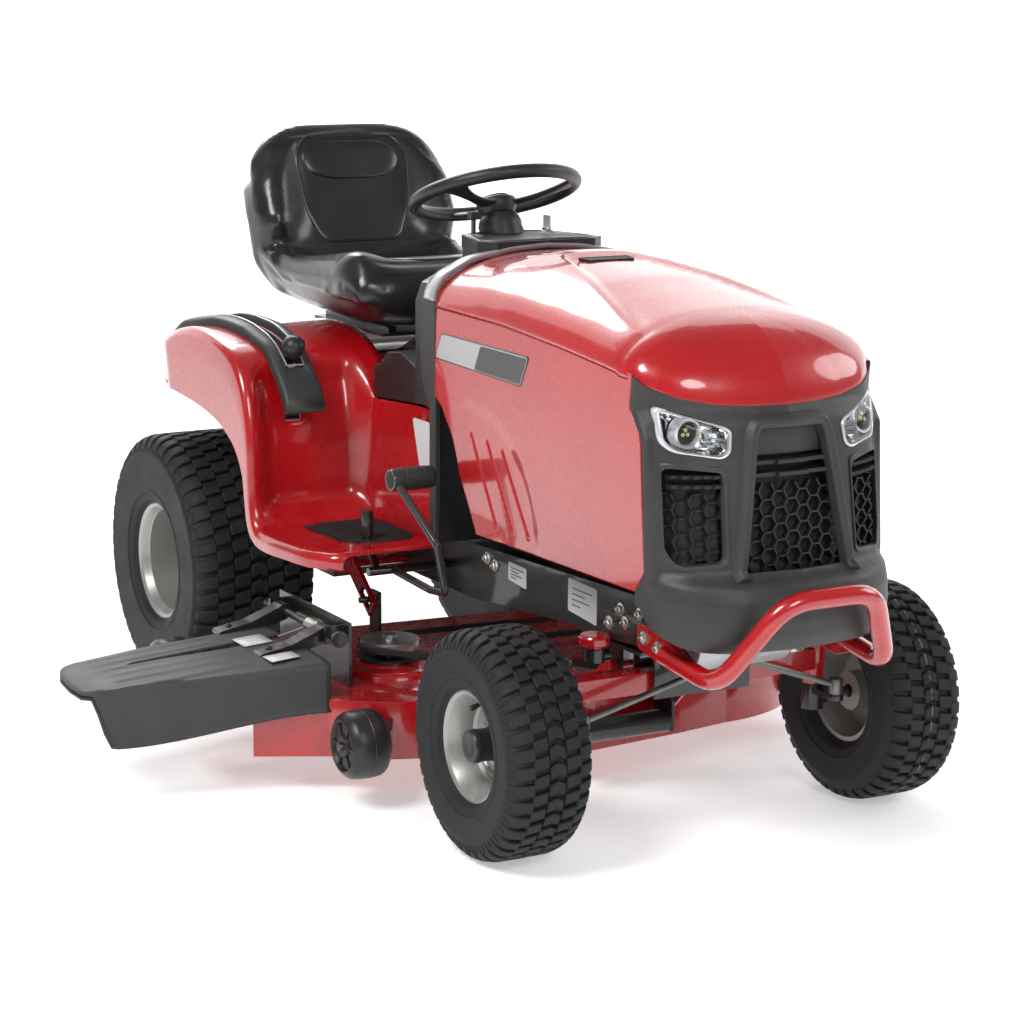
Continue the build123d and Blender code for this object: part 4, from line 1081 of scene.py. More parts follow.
        rows = [ring(grow, sink) for grow, sink in
                ((0.88, -3.0), (0.7, -4.6), (0.5, -5.4), (0.3, -5.8), (0.08, -6))]
        Shape().grid(rows, ring=True).build("lamp_cover_" + name, Kit.clear, self.body)

    def make(self) -> None:
        """Builds the whole nose."""
        self.carve(self.skin())
        self.rib()
        self.openings()
        for name in SIDES:
            self.lamps(name)


def within(point: Point, outline: Line) -> bool:
    """Says whether a flat point lies inside an outline."""
    x, z = point
    inside = False
    for (x0, z0), (x1, z1) in zip(outline, list(outline[1:]) + [outline[0]]):
        if (z0 > z) != (z1 > z) and x < x0 + (z - z0) * (x1 - x0) / (z1 - z0):
            inside = not inside
    return inside


# ---- chassis ----
@dataclass(frozen=True)
class Chassis:
    """Rails, bumper, engine bay and the parts that keep their CAD shape."""

    body: str = "chassis"
    rail_x: float = 150.0
    hoop: Line = ((82, -1016, 476), (160, -946, 336), (166, -800, 354))
    tube: float = 16.0
    ear: Line = ((-700, 384), (-700, 342), (-822, 322), (-868, 338), (-872, 356), (-806, 382))
    labels: Line = ((-254, 396, -320, 358), (-466, 410, -562, 346))

    def bumper(self) -> None:
        """Builds the bent tube and its bolted ears."""
        half = [tuple(p) for p in self.hoop]
        path = [(-x, y, z) for x, y, z in half[::-1]] + half
        shape = Shape().pipe(path, self.tube, 46, 24)
        for side in (-1, 1):
            low, high = span(side, 150.4, 156.0)
            shape.prism(loop_eased(self.ear, 9), Along.X, low, high)
        shape.build("bumper_tube", Kit.red, self.body, ["bumper"], Edges(bevel=0.8))

    def stickers(self) -> None:
        """Builds the blank labels on the rails."""
        for name, side in SIDES.items():
            films, bars = Shape(), Shape()
            for y0, z0, y1, z1 in self.labels:
                low, high = span(side, self.rail_x + 0.1, self.rail_x + 0.5)
                slope = 0.16 * abs(y1 - y0)
                outline = [(y0, z0), (y0, z1 + slope / 2), (y1, z1), (y1, z0 - slope / 9)]
                films.prism(loop_eased(outline, 4, 4), Along.X, low, high)
                low, high = span(side, self.rail_x + 0.5, self.rail_x + 0.75)
                wide, tall = abs(y1 - y0), abs(z0 - z1)
                for k, long in enumerate((0.7, 0.45, 0.6, 0.3)):
                    z = z0 - tall * (0.22 + 0.15 * k)
                    a = y0 - wide * 0.14
                    bars.prism([(a, z), (a - wide * long, z), (a - wide * long, z - 2.2),
                                (a, z - 2.2)], Along.X, low, high)
            films.build("rail_label_" + name, Kit.label, self.body)
            bars.build("rail_label_bars_" + name, Kit.ink, self.body)

    def bolts(self) -> None:
        """Builds the detailed bolts on the rails, ears and footrests."""
        shape = Shape()
        places = ((-700, 396), (-655, 372), (-604, 362), (-176, 386), (-206, 378), (-640, 392))
        for side in (-1, 1):
            for y, z in places:
                shape.bolt((side * 150.1, y, z), (side, 0, 0), 7.6)
            for y, z in ((-722, 362), (-766, 355)):
                shape.bolt((side * 156.1, y, z), (side, 0, 0), 7.6)
        shape.build("rail_bolts", Kit.zinc, self.body, ["chassis_fasteners"])

    def bay(self) -> None:
        """Builds the parts that show below the hood: the oil filler and the silencer can."""
        knob = [(0, 0), (0, 14), (8, 16), (10, 26), (22, 27), (26, 24), (27, 12), (24, 0)]
        Shape().lathe(knob, (-176, -600, 318), (0, 0, 1), 28).build(
            "oil_filler_cap", Kit.red, self.body, edges=Edges(bevel=0.8))
        Shape().lathe([(0, 0), (0, 17), (22, 17), (22, 0)], (-176, -600, 298), (0, 0, 1), 24
                      ).build("oil_filler_neck", Kit.black, self.body)
        Shape().pipe([(-150, -600, 306), (-176, -600, 306)], 11).build(
            "oil_filler_tube", Kit.black, self.body)
        canister = [(-92, 0), (-92, 36), (-84, 42), (84, 42), (92, 36), (92, 0)]
        Shape().lathe(canister, (-6, -762, 352), (1, 0, 0), 36).build(
            "silencer_can", Kit.steel, self.body, edges=Edges(bevel=1.5))

    def make(self) -> None:
        """Builds and dresses the whole chassis."""
        self.bumper()
        self.stickers()
        self.bolts()
        self.bay()
        for node in ("frame_rail_right", "frame_rail_left", "frame_crossmembers",
                     "seat_bracket", "seat_base"):
            dress(node, Kit.black, 1.2)
        for node in ("engine", "transaxle"):
            dress(node, Kit.cast, 2.0)
        for node in ("battery", "fuel_tank"):
            dress(node, Kit.plastic, 3.0)
        dress("drive_belt", Kit.belt, 0.6)
        dress("crankshaft", Kit.steel, 0.6)


# ---- dash and steering wheel ----
@dataclass(frozen=True)
class Dash:
    """The dash tower, its trim, the column's boot and the steering wheel."""

    body: str = "chassis"
    centre: Point = (0, 82, 1012)
    tilt: float = 20.0
    rim: float = 150.0
    arch: Line = ((232, 846), (228, 868), (210, 893), (154, 920), (72, 935), (0, 939))

    @property
    def column(self) -> Matrix:
        """The steering wheel's plane, seen from the drawing's axes."""
        return Matrix.Translation(self.centre) @ Matrix.Rotation(math.radians(-self.tilt), 4, "X")

    def trim(self) -> None:
        """Builds the silver arch behind the hood and the dark cheeks below it."""
        line = even(eased(self.arch, 18), 60)
        path = mirrored([tuple(p) for p in line])
        rows = []
        for y, inset in ((-118, 9), (-118, 1), (-114, 0), (-92, 1), (-72, 5), (-60, 12)):
            rows.append([(x * (1 - inset / 228), y, z - inset * step(z, 800, 930))
                         for x, z in path])
        Shape().grid(rows).build("arch_trim", Kit.silver, self.body, ["dash_trim"],
                                 Edges(thick=2, sharp=50))
        for name, side in SIDES.items():
            outer = [(-116, 848), (-116, 400), (-94, 398), (-94, 654), (-62, 700), (-56, 800),
                     (-70, 850)]
            low, high = span(side, 214, 226.5)
            Shape().prism(loop_eased(outer, 10), Along.X, low, high).build(
                "dash_cheek_" + name, Kit.shell, self.body, edges=Edges(bevel=3))

    def tower(self) -> None:
        """Builds the tower's top cover, its small plates and the column's boot."""
        dress("dash_tower", Kit.plastic, 4.0)
        dress("tunnel_cover", Kit.plastic, 3.0)
        pad = loop_eased([(-124, -84), (-98, -112), (98, -112), (124, -84), (90, 36), (58, 56),
                          (-58, 56), (-90, 36)], 16)
        rows = [[(x * s, -28 + (y + 28) * s, z) for x, y in pad]
                for s, z in ((1, 936), (0.995, 941), (0.95, 944.5), (0.9, 945.5), (0.88, 943.8),
                             (0.3, 943.8))]
        shape = Shape().grid(rows, ring=True, caps=True)
        shape.build("dash_pad", Kit.plastic, self.body, edges=Edges(sharp=50))
        slot = Shape().box((-96, -12, 943), (-75, 22, 944.6))
        slot.box((72, 20, 943), (92, 46, 944.6))
        slot.build("dash_plates", Kit.silver, self.body, edges=Edges(bevel=0.8))
        boot = [(-96, 44), (-84, 42), (-78, 43), (-66, 40), (-60, 41), (-48, 37), (-44, 33),
                (-40, 12)]
        Shape().lathe(boot, (0, 0, 0), (0, 0, 1), 40).turned(self.column).build(
            "column_boot", Kit.plastic, self.body, edges=Edges(sharp=50))

    def wheel(self) -> None:
        """Builds the steering wheel with its dished spokes, hub cap and shaft."""
        ring = []
        for a in np.linspace(0, 2 * math.pi, 20, endpoint=False):
            ring.append((12.8 * math.sin(a), self.rim + 12.8 * math.cos(a)))
        shape = Shape().lathe(ring, (0, 0, 0), (0, 0, 1), 96, closed=True)
        hub = [(-40, 20), (-40, 30), (-30, 36), (-19, 38), (-12, 34), (-9, 26), (-7.5, 0)]
        shape.lathe(hub, (0, 0, 0), (0, 0, 1), 44)
        for turn in (90, 210, 330):
            spoke = Shape()
            rows = []
            for t in np.linspace(0, 1, 14):
                r = 26 + t * (self.rim - 29)
                wide = 21 - 9 * math.sin(math.pi * min(1, t * 1.1)) + 9 * t ** 5
                z = -24 + 22 * t ** 1.6
                rows.append([(r, wide * math.cos(a), z + 6.2 * math.sin(a))
                             for a in np.linspace(0, 2 * math.pi, 16, endpoint=False)])
            spoke.grid(rows, ring=True, caps=True)
            spoke.turned(Matrix.Rotation(math.radians(turn), 4, "Z"))
            scratch = bpy.data.meshes.new("spoke")
            spoke.bm.to_mesh(scratch)
            spoke.bm.free()
            shape.bm.from_mesh(scratch)
        shape.turned(self.column)
        shape.build("wheel_grip", Kit.plastic, "steering", ["steering_wheel"], Edges(sharp=40))
        cap = [(-9.5, 23), (-7, 24), (-5.5, 22), (-4.8, 0)]
        Shape().lathe(cap, (0, 0, 0), (0, 0, 1), 36).turned(self.column).build(
            "wheel_cap", Kit.shell, "steering")
        Shape().pipe([(0, 0, -38), (0, 0, -555)], 9.4).turned(self.column).build(
            "column_shaft", Kit.steel, "steering")

    def make(self) -> None:
        """Builds the whole dash."""
        self.trim()
        self.tower()
        self.wheel()
        dress("ignition_key", Kit.zinc, 0.5)
        dress("throttle_lever", Kit.plastic, 1.5)
        for node in ("steering_pinion", "steering_sector", "steering_arm", "drag_link",
                     "track_rod_right", "track_rod_left"):
            dress(node, Kit.rod, 0.8)


# ---- fender pan ----
@dataclass(frozen=True)
class FenderPan:
    """Footrests, wheel arches and seat deck with the lever's console and rubber pads."""

    body: str = "chassis"
    half: float = 440.0
    round: float = 15.0
    path: Line = ((-72, 392), (60, 392), (172, 392), (204, 402), (220, 440), (225, 500),
                  (230, 570), (250, 642), (284, 690), (330, 716), (400, 732), (480, 738),
                  (560, 730), (640, 703), (700, 655), (728, 606))
    lower: Line = ((-72, 363), (60, 362), (172, 361), (214, 372), (237, 398), (247, 440),
                   (258, 490), (290, 532), (330, 556), (372, 572), (424, 584), (480, 592),
                   (548, 598), (620, 602), (680, 603), (726, 603))
    ridge: Line = ((-60, 618), (20, 630), (120, 626), (205, 620), (226, 620), (232, 622),
                   (238, 628), (252, 650), (285, 690), (330, 716), (400, 732), (480, 738),
                   (560, 730), (640, 703), (700, 655), (728, 606))

    def outer(self, y: float) -> float:
        """Returns how far out the pan reaches at a station."""
        front = np.interp(y, [-72, 0, 120, 200], [386, 428, 440, 440])
        return float(min(front, 440 - max(0.0, y - 640) * 0.4))

    def lines(self) -> tuple[np.ndarray, np.ndarray, np.ndarray]:
        """Returns the path, lower edge and ridge with matching points."""
        counts = [4, 5, 6, 6, 5, 5, 6, 5, 5, 5, 5, 5, 5, 5, 4]
        out = []
        for line in (self.path, self.lower, self.ridge):
            smooth = flowing(line, 400)
            marks = [int(np.argmin(np.linalg.norm(smooth - np.array(p), axis=1))) for p in line]
            parts = [even(smooth[a:b + 1], n + 1)[:-1] for a, b, n in
                     zip(marks, marks[1:], counts)]
            out.append(np.vstack(parts + [smooth[-1:]]))
        return tuple(out)

    def sink(self, x: float, z: float) -> float:
        """Returns how far the front wall is hollowed back inboard of the fender's corner."""
        high = step(z, 398, 440) * (1 - step(z, 640, 715))
        return 34 * high * (1 - step(abs(x), 372, 424)) * step(abs(x), 178, 215)

    def skin(self) -> None:
        """Builds the pressed sheet, column by column from edge to edge."""
        path, lower, ridge = self.lines()
        columns = []
        r = self.round
        inner = np.unique(np.r_[np.linspace(0, 170, 12), [176, 179, 182, 186, 192, 200],
                                np.linspace(212, 300, 7), [315, 345], np.linspace(352, 424, 9)])
        for side in (-1, 1):
            flat = []
            for x in inner if side > 0 else inner[::-1]:
                blend = 1 - step(x, 177, 191)
                column = []
                for (y0, z0), (y1, z1) in zip(path, ridge):
                    y, z = y0 + (y1 - y0) * blend, z0 + (z1 - z0) * blend
                    reach = (self.outer(y) - r) / (self.half - r)
                    px = x * (1 + (reach - 1) * step(x, 200, 425))
                    column.append((side * px, y + self.sink(x, z), z))
                flat.append(column)
            skirt = []
            for a in (25, 50, 72, 90):
                s, c = math.sin(math.radians(a)), math.cos(math.radians(a))
                column = []
                for (y0, z0), (y1, z1) in zip(path, lower):
                    way = Vector((y1 - y0, z1 - z0)).normalized()
                    x = self.outer(y0) - r + r * s
                    column.append((side * x, y0 + way.x * r * (1 - c), z0 + way.y * r * (1 - c)))
                skirt.append(column)
            for t in (0.35, 0.7, 1.0):
                column = []
                for (y0, z0), (y1, z1) in zip(path, lower):
                    way = Vector((y1 - y0, z1 - z0)).normalized() * r
                    y2, z2 = y0 + way.x, z0 + way.y
                    column.append((side * self.outer(y0), y2 + (y1 - y2) * t, z2 + (z1 - z2) * t))
                skirt.append(column)
            lip = [(side * (abs(x) - 9), y, z + 1) for x, y, z in skirt[-1]]
            skirt.append(lip)
            columns += (skirt[::-1] + flat) if side < 0 else (flat[1:] + skirt)

        def kept(mid: Vector) -> bool:
            """Leaves out the hole under the seat and the lever's slot."""
            under_seat = abs(mid.x) < 137 and 246 < mid.y < 600 and mid.z > 655
            slot = 315 < -mid.x < 345 and 236 < mid.y < 540 and mid.z > 585
            return not under_seat and not slot

        Shape().grid(columns, keep=kept).build("pan_pressing", Kit.red, self.body,
                                               ["fender_pan"], Edges(thick=2.4, sharp=55))

    def laid(self, line: np.ndarray, run: np.ndarray, x: float, at: float,
             high: float) -> tuple[float, float, float]:
        """Returns the point beside the lever, so far along a line and so high above it."""
        y, z = (float(np.interp(at * run[-1], run, line[:, k])) for k in (0, 1))
        i = min(len(line) - 2, int(np.searchsorted(run, at * run[-1])))
        way = Vector(line[i + 1] - line[max(i - 1, 0)]).normalized()
        return x, y - way.y * high, z + way.x * high

    def rim(self) -> None:
        """Builds the dark console round the lift lever's slot, with its bright trim."""
        line = flowing([(202, 596), (212, 626), (238, 656), (284, 697), (330, 721), (400, 738),
                        (500, 743), (590, 730), (664, 698)], 80)
        run = np.r_[0, np.cumsum(np.linalg.norm(np.diff(line, axis=0), axis=1))]
        outer = loop_eased([(-372, 0.02), (-372, 0.30), (-388, 0.62), (-418, 0.9), (-412, 0.99),
                            (-330, 0.99), (-302, 0.86), (-293, 0.5), (-293, 0.02)], 22)
        inner = loop_eased([(-346, 0.20), (-347, 0.36), (-352, 0.6), (-360, 0.76), (-352, 0.83),
                            (-330, 0.83), (-318, 0.74), (-313, 0.5), (-313, 0.20)], 8)
        rows = []
        for mix, high in ((0, -7), (0, 6), (0.08, 10), (0.3, 12), (0.55, 12.5), (0.8, 12),
                          (0.94, 10), (1, 6), (1, -20)):
            flat = outer + (inner - outer) * mix
            rows.append([self.laid(line, run, x, s, high) for x, s in flat])
        Shape().grid(rows, ring=True).build("lever_console", Kit.shell, self.body,
                                            ["fender_console"], Edges(sharp=60))
        trim = [self.laid(line, run, x + (-1.5 if x < -330 else 1.5), s, 12)
                for x, s in np.vstack([inner, inner[:1]])]
        Shape().pipe(trim, 1.8, sides=8).build("console_trim", Kit.silver, self.body)
        teeth = Shape()
        for k in range(7):
            y = 300 + 34 * k
            teeth.prism([(y, 648), (y + 8, 640), (y + 16, 648), (y + 16, 664), (y, 664)],
                        Along.X, -312, -306)
        teeth.prism([(280, 640), (540, 640), (540, 626), (280, 626)], Along.X, -313, -305)
        teeth.build("lever_quadrant", Kit.black, self.body)

    def pads(self) -> None:
        """Builds the ribbed rubber footrest pads and the blank decals by the tunnel."""
        plan = [(346, 196), (300, 205), (236, 205), (196, 192), (190, 40), (214, 8), (283, 4),
                (332, 30)]
        for name, side in SIDES.items():
            outline = loop_eased([(side * x, y) for x, y in plan], 12)
            shape = Shape().prism(list(outline), Along.Z, 391.5, 394.5)
            for k in range(13):
                y = 18 + k * 14
                reach = 337 if y > 40 else 318
                low, high = span(side, 198, min(reach, 338 - max(0, y - 150) * 0.5))
                shape.prism([(y, 394), (y + 1.4, 397.4), (y + 6, 397.4), (y + 7.4, 394)],
                            Along.X, low, high)
            node = {"replaces": ["footrest_pads"]} if side < 0 else {}
            shape.build("foot_pad_" + name, Kit.pad, self.body, edges=Edges(bevel=0.4), **node)
            strip = loop_eased([(40, 612), (-30, 612), (-66, 520), (8, 516)], 9)
            low, high = span(side, 191.4, 192.2)
            Shape().prism(list(strip), Along.X, low, high).build(
                "tunnel_decal_" + name, Kit.label, self.body)

    def make(self) -> None:
        """Builds the whole pan."""
        self.skin()
        self.rim()
        self.pads()


# ---- seat ----
@dataclass(frozen=True)
class Seat:
    """The high-backed bucket seat with its sewn panels."""

    body: str = "seat"
    half: float = 220.0
    loop: Line = ((226, 768), (208, 790), (208, 826), (218, 852), (246, 868), (300, 868),
                  (400, 851), (500, 836), (575, 832), (624, 842), (652, 876), (680, 940),
                  (704, 1006), (724, 1062), (738, 1094), (758, 1107), (778, 1099), (787, 1074),
                  (784, 1020), (770, 940), (750, 862), (722, 802), (684, 768), (610, 752),
                  (500, 746), (360, 746), (262, 752))

    def bolster(self, x: float) -> float:
        """Returns how much of the side bolster stands at a place across the seat."""
        return step(abs(x), 100, 192)

    def shaped(self, x: float, y: float, z: float, front: bool) -> tuple[float, float, float]:
        """Moves a point of the middle section to its place nearer the seat's side."""
        side = abs(x) / self.half
        b = self.bolster(x)
        if front and y < 640:
            z += 25 * b * step(y, 215, 300)
        if front and z > 850:
            y -= 40 * b * step(z, 850, 930) * (1 - 0.5 * step(z, 1010, 1107))
        z_out = z - (z - 930) * 0.42 * side ** 5 if z > 930 else z
        if y < 320:
            y = y + 26 * side ** 4
        if not front:
            z_out += 16 * side ** 4 * (1 - step(z, 760, 900))
        narrow = 0.84 + 0.16 * step(z, 752, 850) - 0.05 * step(z, 1000, 1107)
        return x * narrow, y, z_out

    def shell(self) -> bpy.types.Object:
        """Builds the bucket by carrying its middle section across."""
        loop = flowing(self.loop, 84, closed=True)
        rows = []
        for t in np.linspace(-1, 1, 45):
            x = self.half * math.sin(t * math.pi / 2)
            close = math.sqrt(max(0.0, 1 - max(0.0, (abs(x) - 178) / (self.half - 178)) ** 2.4))
            row = []
            for i, (y, z) in enumerate(loop):
                front = 2 <= i <= 46
                spine_y = np.interp(z, [760, 850, 960, 1107], [y, 700, 738, 752])
                spine_z = np.interp(y, [208, 600, 690], [800, 795, z])
                if z < 900 and y < 640:
                    cy, cz = y, spine_z
                else:
                    cy, cz = spine_y, z
                yy, zz = cy + (y - cy) * close, cz + (z - cz) * close
                row.append(self.shaped(x, yy, zz, front))
            rows.append(row)
        shape = Shape().grid(rows, ring=True, caps=True)
        piece = shape.build("seat_shell", Kit.vinyl, self.body, ["seat_bucket"],
                            Edges(sharp=80))
        return piece

    def panel(self, name: str, outline: Line, tree: BVHTree, way: Point, dome: float) -> None:
        """Builds one sewn panel on the seat's own surface, with its welt.

        Args:
            name: the panel's name.
            outline: its outline as x and the second or third coordinate.
            tree: the seat's surface.
            way: the direction in which the outline is thrown on to the seat.
            dome: how far the panel's middle stands out, in millimetres.
        """
        ring = loop_eased(outline, 26, 7)
        mid = ring.mean(axis=0)
        place = Shape.datum.matrix
        back = place.inverted()

        def lay(points: np.ndarray, high: float) -> list[Vector]:
            """Throws flat points on to the seat and lifts them off it."""
            found = []
            for x, q in points:
                start = (x, 450, q) if way[1] else (x, q, 1000)
                hit, normal, _, _ = tree.ray_cast(place @ Vector(start), Vector(way))
                found.append(back @ hit - Vector(way) * high * 0.8 + normal * high * 0.2)
            return found

        rows = []
        for grow, high in ((0.02, -6), (0.9, -6), (0.995, -2), (1.0, 0.2), (0.97, 0.45 * dome),
                           (0.9, 0.75 * dome), (0.75, 0.93 * dome), (0.5, dome), (0.25, dome),
                           (0.02, dome)):
            rows.append(lay(mid + (ring - mid) * grow, high))
        piece = Shape().grid(rows, ring=True, caps=True).build(
            name, Kit.vinyl, self.body, edges=Edges(levels=1, sharp=80))
        cord = lay(mid + (ring - mid) * 1.012, 0.3)
        Shape().pipe(cord + cord[:1], 1.7, sides=8).build(name + "_welt", Kit.vinyl, self.body)

    def make(self) -> None:
        """Builds the whole seat."""
        shell = self.shell()
        inflate(shell, voxel=0.006, pressure=1.2, cap=0.004)
        tree = BVHTree.FromObject(shell, bpy.context.evaluated_depsgraph_get())
        self.panel("back_panel", [(-104, 1078), (104, 1078), (124, 1040), (116, 940), (88, 874),
                                  (-88, 874), (-116, 940), (-124, 1040)], tree, (0, 1, 0), 3.0)
        self.panel("back_pillow", [(-72, 1072), (72, 1072), (112, 1050), (106, 1010), (56, 994),
                                   (-56, 994), (-106, 1010), (-112, 1050)], tree, (0, 1, 0), 9.0)
        self.panel("cushion_panel", [(-104, 560), (104, 560), (116, 440), (110, 300), (70, 262),
                                     (-70, 262), (-110, 300), (-116, 440)], tree, (0, 0, -1),
                   4.0)


def inflate(piece: bpy.types.Object, voxel: float, pressure: float, cap: float) -> None:
    """Blows a closed piece up as cloth and keeps the result.

    Args:
        piece: the piece, which ends up with the blown mesh.
        voxel: remesh size in metres.
        pressure: the air inside.
        cap: the furthest that a point may move, in metres.
    """
    graph = bpy.context.evaluated_depsgraph_get()
    remesh = piece.modifiers.new("remesh", "REMESH")
    remesh.mode, remesh.voxel_size = "VOXEL", voxel
    graph.update()
    start = bpy.data.meshes.new_from_object(piece.evaluated_get(graph))
    finish = piece.data.materials[0]
    piece.modifiers.clear()
    piece.data = start
    rest = np.empty(len(start.vertices) * 3)
    start.vertices.foreach_get("co", rest)
    cloth = piece.modifiers.new("cloth", "CLOTH")
    cloth.settings.quality = 4
    cloth.settings.use_pressure = True
    cloth.settings.uniform_pressure_force = pressure
    cloth.settings.effector_weights.gravity = 0
    cloth.collision_settings.use_collision = False
    scene = bpy.context.scene
    for frame in range(1, 21):
        scene.frame_set(frame)
    graph = bpy.context.evaluated_depsgraph_get()
    blown = bpy.data.meshes.new_from_object(piece.evaluated_get(graph))
    moved = np.empty_like(rest)
    blown.vertices.foreach_get("co", moved)
    shift = (moved - rest).reshape(-1, 3)
    far = np.linalg.norm(shift, axis=1, keepdims=True)
    shift *= np.minimum(1.0, cap / np.maximum(far, 1e-9))
    blown.vertices.foreach_set("co", (rest.reshape(-1, 3) + shift).ravel())
    piece.modifiers.clear()
    piece.data = blown
    blown.materials.clear()
    blown.materials.append(finish)
    blown.polygons.foreach_set("use_smooth", [True] * len(blown.polygons))
    scene.frame_set(1)
    soften(piece, Edges(levels=1))


# ---- wheels ----
@dataclass(frozen=True)
class Wheel:
    """One turf tyre with its tread blocks, stepped rim, hub cap and valve.

    Attributes:
        end: front or rear.
        name: right or left.
        middle: distance of the tyre's middle plane from the centre plane.
        y: the axle's station.
        radius: the tyre's outer radius.
        width: the tyre's width.
        bead: the rim's edge radius.
        pitches: how many blocks go round in each row.
        rows: each row's middle across the tread and its blocks' half-width.
        deep: how high the blocks stand.
    """

    end: str
    name: str
    middle: float
    y: float
    radius: float
    width: float
    bead: float
    pitches: int
    rows: Line
    deep: float = 8.0

    @property
    def body(self) -> str:
        """The wheel's body."""
        return f"{self.end}_wheel_{self.name[0]}"

    @property
    def tag(self) -> str:
        """The end of its pieces' names."""
        return f"{self.end}_{self.name}"

    @property
    def side(self) -> int:
        """Which way is outwards."""
        return SIDES[self.name]

    def centre(self) -> tuple[float, float, float]:
        """Returns the middle of the wheel."""
        return self.side * self.middle, self.y, self.radius

    def crown(self, a: float) -> float:
        """Returns the outer radius at a distance across the tread."""
        half, r = self.width / 2, self.radius
        return float(np.interp(abs(a), [0, half - 34, half - 24, half - 14, half - 7, half - 2],
                               [r - 0.3, r - 0.8, r - 3, r - 7.5, r - 16, r - 29]))

    def carcass(self) -> None:
        """Builds the tyre's body with its sidewall rings."""
        half, r, b = self.width / 2, self.radius, self.bead
        side = [(half - 24, b - 2), (half - 19, b + 1), (half - 13, b + 7), (half - 9, b + 9),
                (half - 6, b + 15), (half - 5, b + 22), (half - 2.2, b + 24),
                (half - 1.6, b + 28), (half - 3, b + 30), (half - 1, (r + b) / 2),
                (half - 0.6, r - 42), (half - 0.2, r - 38), (half - 1.2, r - 34),
                (half - 3.4, r - 31), (half - 8, r - 20), (half - 16, r - 13),
                (half - 34, r - self.deep - 0.6)]
        tread = [(a, r - self.deep) for a in np.linspace(half - 46, 46 - half, 9)]
        profile = side + tread + [(-a, h) for a, h in side[::-1]]
        Shape().lathe(profile, self.centre(), (self.side, 0, 0), 120).build(
            f"tyre_casing_{self.tag}", Kit.tyre, self.body,
            [f"{self.end}_tyre_{self.name}"], Edges(sharp=32))

    def blocks(self) -> None:
        """Builds the tread blocks, each a bracket bent round the tread."""
        shape = Shape()
        pitch = 2 * math.pi / self.pitches
        long = pitch * self.radius
        x, y, z = self.centre()
        for k, (middle, wide) in enumerate(self.rows):
            lean = 0 if abs(middle) < 1 else math.copysign(0.16 * long, middle)
            across = np.linspace(-wide, wide, 5)
            for i in range(self.pitches):
                start = (i + 0.5 * (k % 2)) * pitch
                rings = []
                for inset, sink in ((-1.0, self.deep + 1.2), (0.0, 1.6), (1.6, 0.0)):
                    ring = []
                    for edge in (1, -1):
                        for a in across[::edge]:
                            bend = 0.2 * long * (1 - abs(a) / wide) if not lean else \
                                lean * (1 - (a * math.copysign(1, middle) + wide) / (2 * wide))
                            s = edge * (long * 0.33 - inset) - bend
                            at = middle + a * (wide - inset) / wide
                            r = self.crown(at) - sink
                            turn = start + s / self.radius
                            ring.append((x + at * self.side, y + r * math.cos(turn),
                                         z + r * math.sin(turn)))
                    rings.append(ring)
                shape.grid(rings, ring=True)
                verts = [shape.bm.verts.new(Vector(p)) for p in rings[-1]]
                for j in range(4):
                    shape.bm.faces.new((verts[j], verts[j + 1], verts[8 - j], verts[9 - j]))
        shape.build(f"tread_{self.tag}", Kit.stripe if self.end == "front"
                    else Kit.tyre, self.body, edges=Edges(sharp=28))

    def ribs(self) -> None:
        """Builds the short ribs round the sidewall."""
        shape = Shape()
        x, y, z = self.centre()
        half = self.width / 2
        low, high = self.radius - 33, self.radius - 17
        for i in range(self.pitches * 2):
            a = math.pi * (i + 0.5) / self.pitches
            out = Vector((0, math.cos(a), math.sin(a)))
            way = Vector((0, -math.sin(a), math.cos(a)))
            rings = []
            for r, face in ((low, half - 2.4), (high, half - 8.5)):
                ring = []
                for w, rise in ((-2.6, -2), (-1.4, 1.2), (1.4, 1.2), (2.6, -2)):
                    ring.append(Vector((x + self.side * (face + rise), y, z)) + out * r + way * w)
                rings.append(ring)
            shape.grid(rings, ring=True, caps=True)
        shape.build(f"sidewall_ribs_{self.tag}", Kit.tyre, self.body)

    def rim(self) -> None:
        """Builds the stepped rim, its hub, cap and valve."""
        half, b = self.width / 2, self.bead
        outer = half - 18
        face = [(-half + 20, b), (-half + 22, b + 3), (-half + 26, b + 1), (-half + 26, b - 10),
                (4, b - 18), (4, b - 24), (6, 34), (-38, 34), (-38, 12), (8, 12), (12, 32),
                (9, 40), (8, 0.42 * b + 16), (12, 0.42 * b + 19), (12.5, 0.42 * b + 24),
                (8, 0.42 * b + 28), (10, b - 24), (15, b - 19), (outer - 18, b - 14),
                (outer - 14, b - 11), (outer - 4, b - 8), (outer, b - 4), (outer + 1.5, b),
                (outer, b + 3.4), (outer - 3, b + 3.6), (outer - 5, b)]
        shape = Shape().lathe(face, self.centre(), (self.side, 0, 0), 96)
        x, y, z = self.centre()
        for i in range(5):
            a = 2 * math.pi * i / 5 + 0.4
            at = (x + self.side * 8.5, y + 44 * math.cos(a), z + 44 * math.sin(a))
            shape.lathe([(0, 6), (1.8, 5.4), (2.4, 4), (2.4, 0)], at, (self.side, 0, 0), 14)
        shape.build(f"wheel_disc_{self.tag}", Kit.rim, self.body,
                    [f"{self.end}_rim_{self.name}"], Edges(sharp=32))
        hub = [(8, 30), (16, 30), (18, 27.5), (44, 26.5), (46, 28), (56, 27.5), (59, 25),
               (60, 18), (58.5, 15), (58, 0)]
        shape = Shape().lathe(hub, self.centre(), (self.side, 0, 0), 48)
        shape.build(f"hub_cap_{self.tag}", Kit.plastic, self.body,
                    edges=Edges(sharp=40))
        a = math.radians(62)
        r = b - 20
        at = Vector((x + self.side * 12, y + r * math.cos(a), z + r * math.sin(a)))
        stem = [(0, 6.5), (3, 6), (5, 4.2), (20, 3.8), (20.5, 4.6), (30, 4.6), (31.5, 3.4),
                (31.5, 0)]
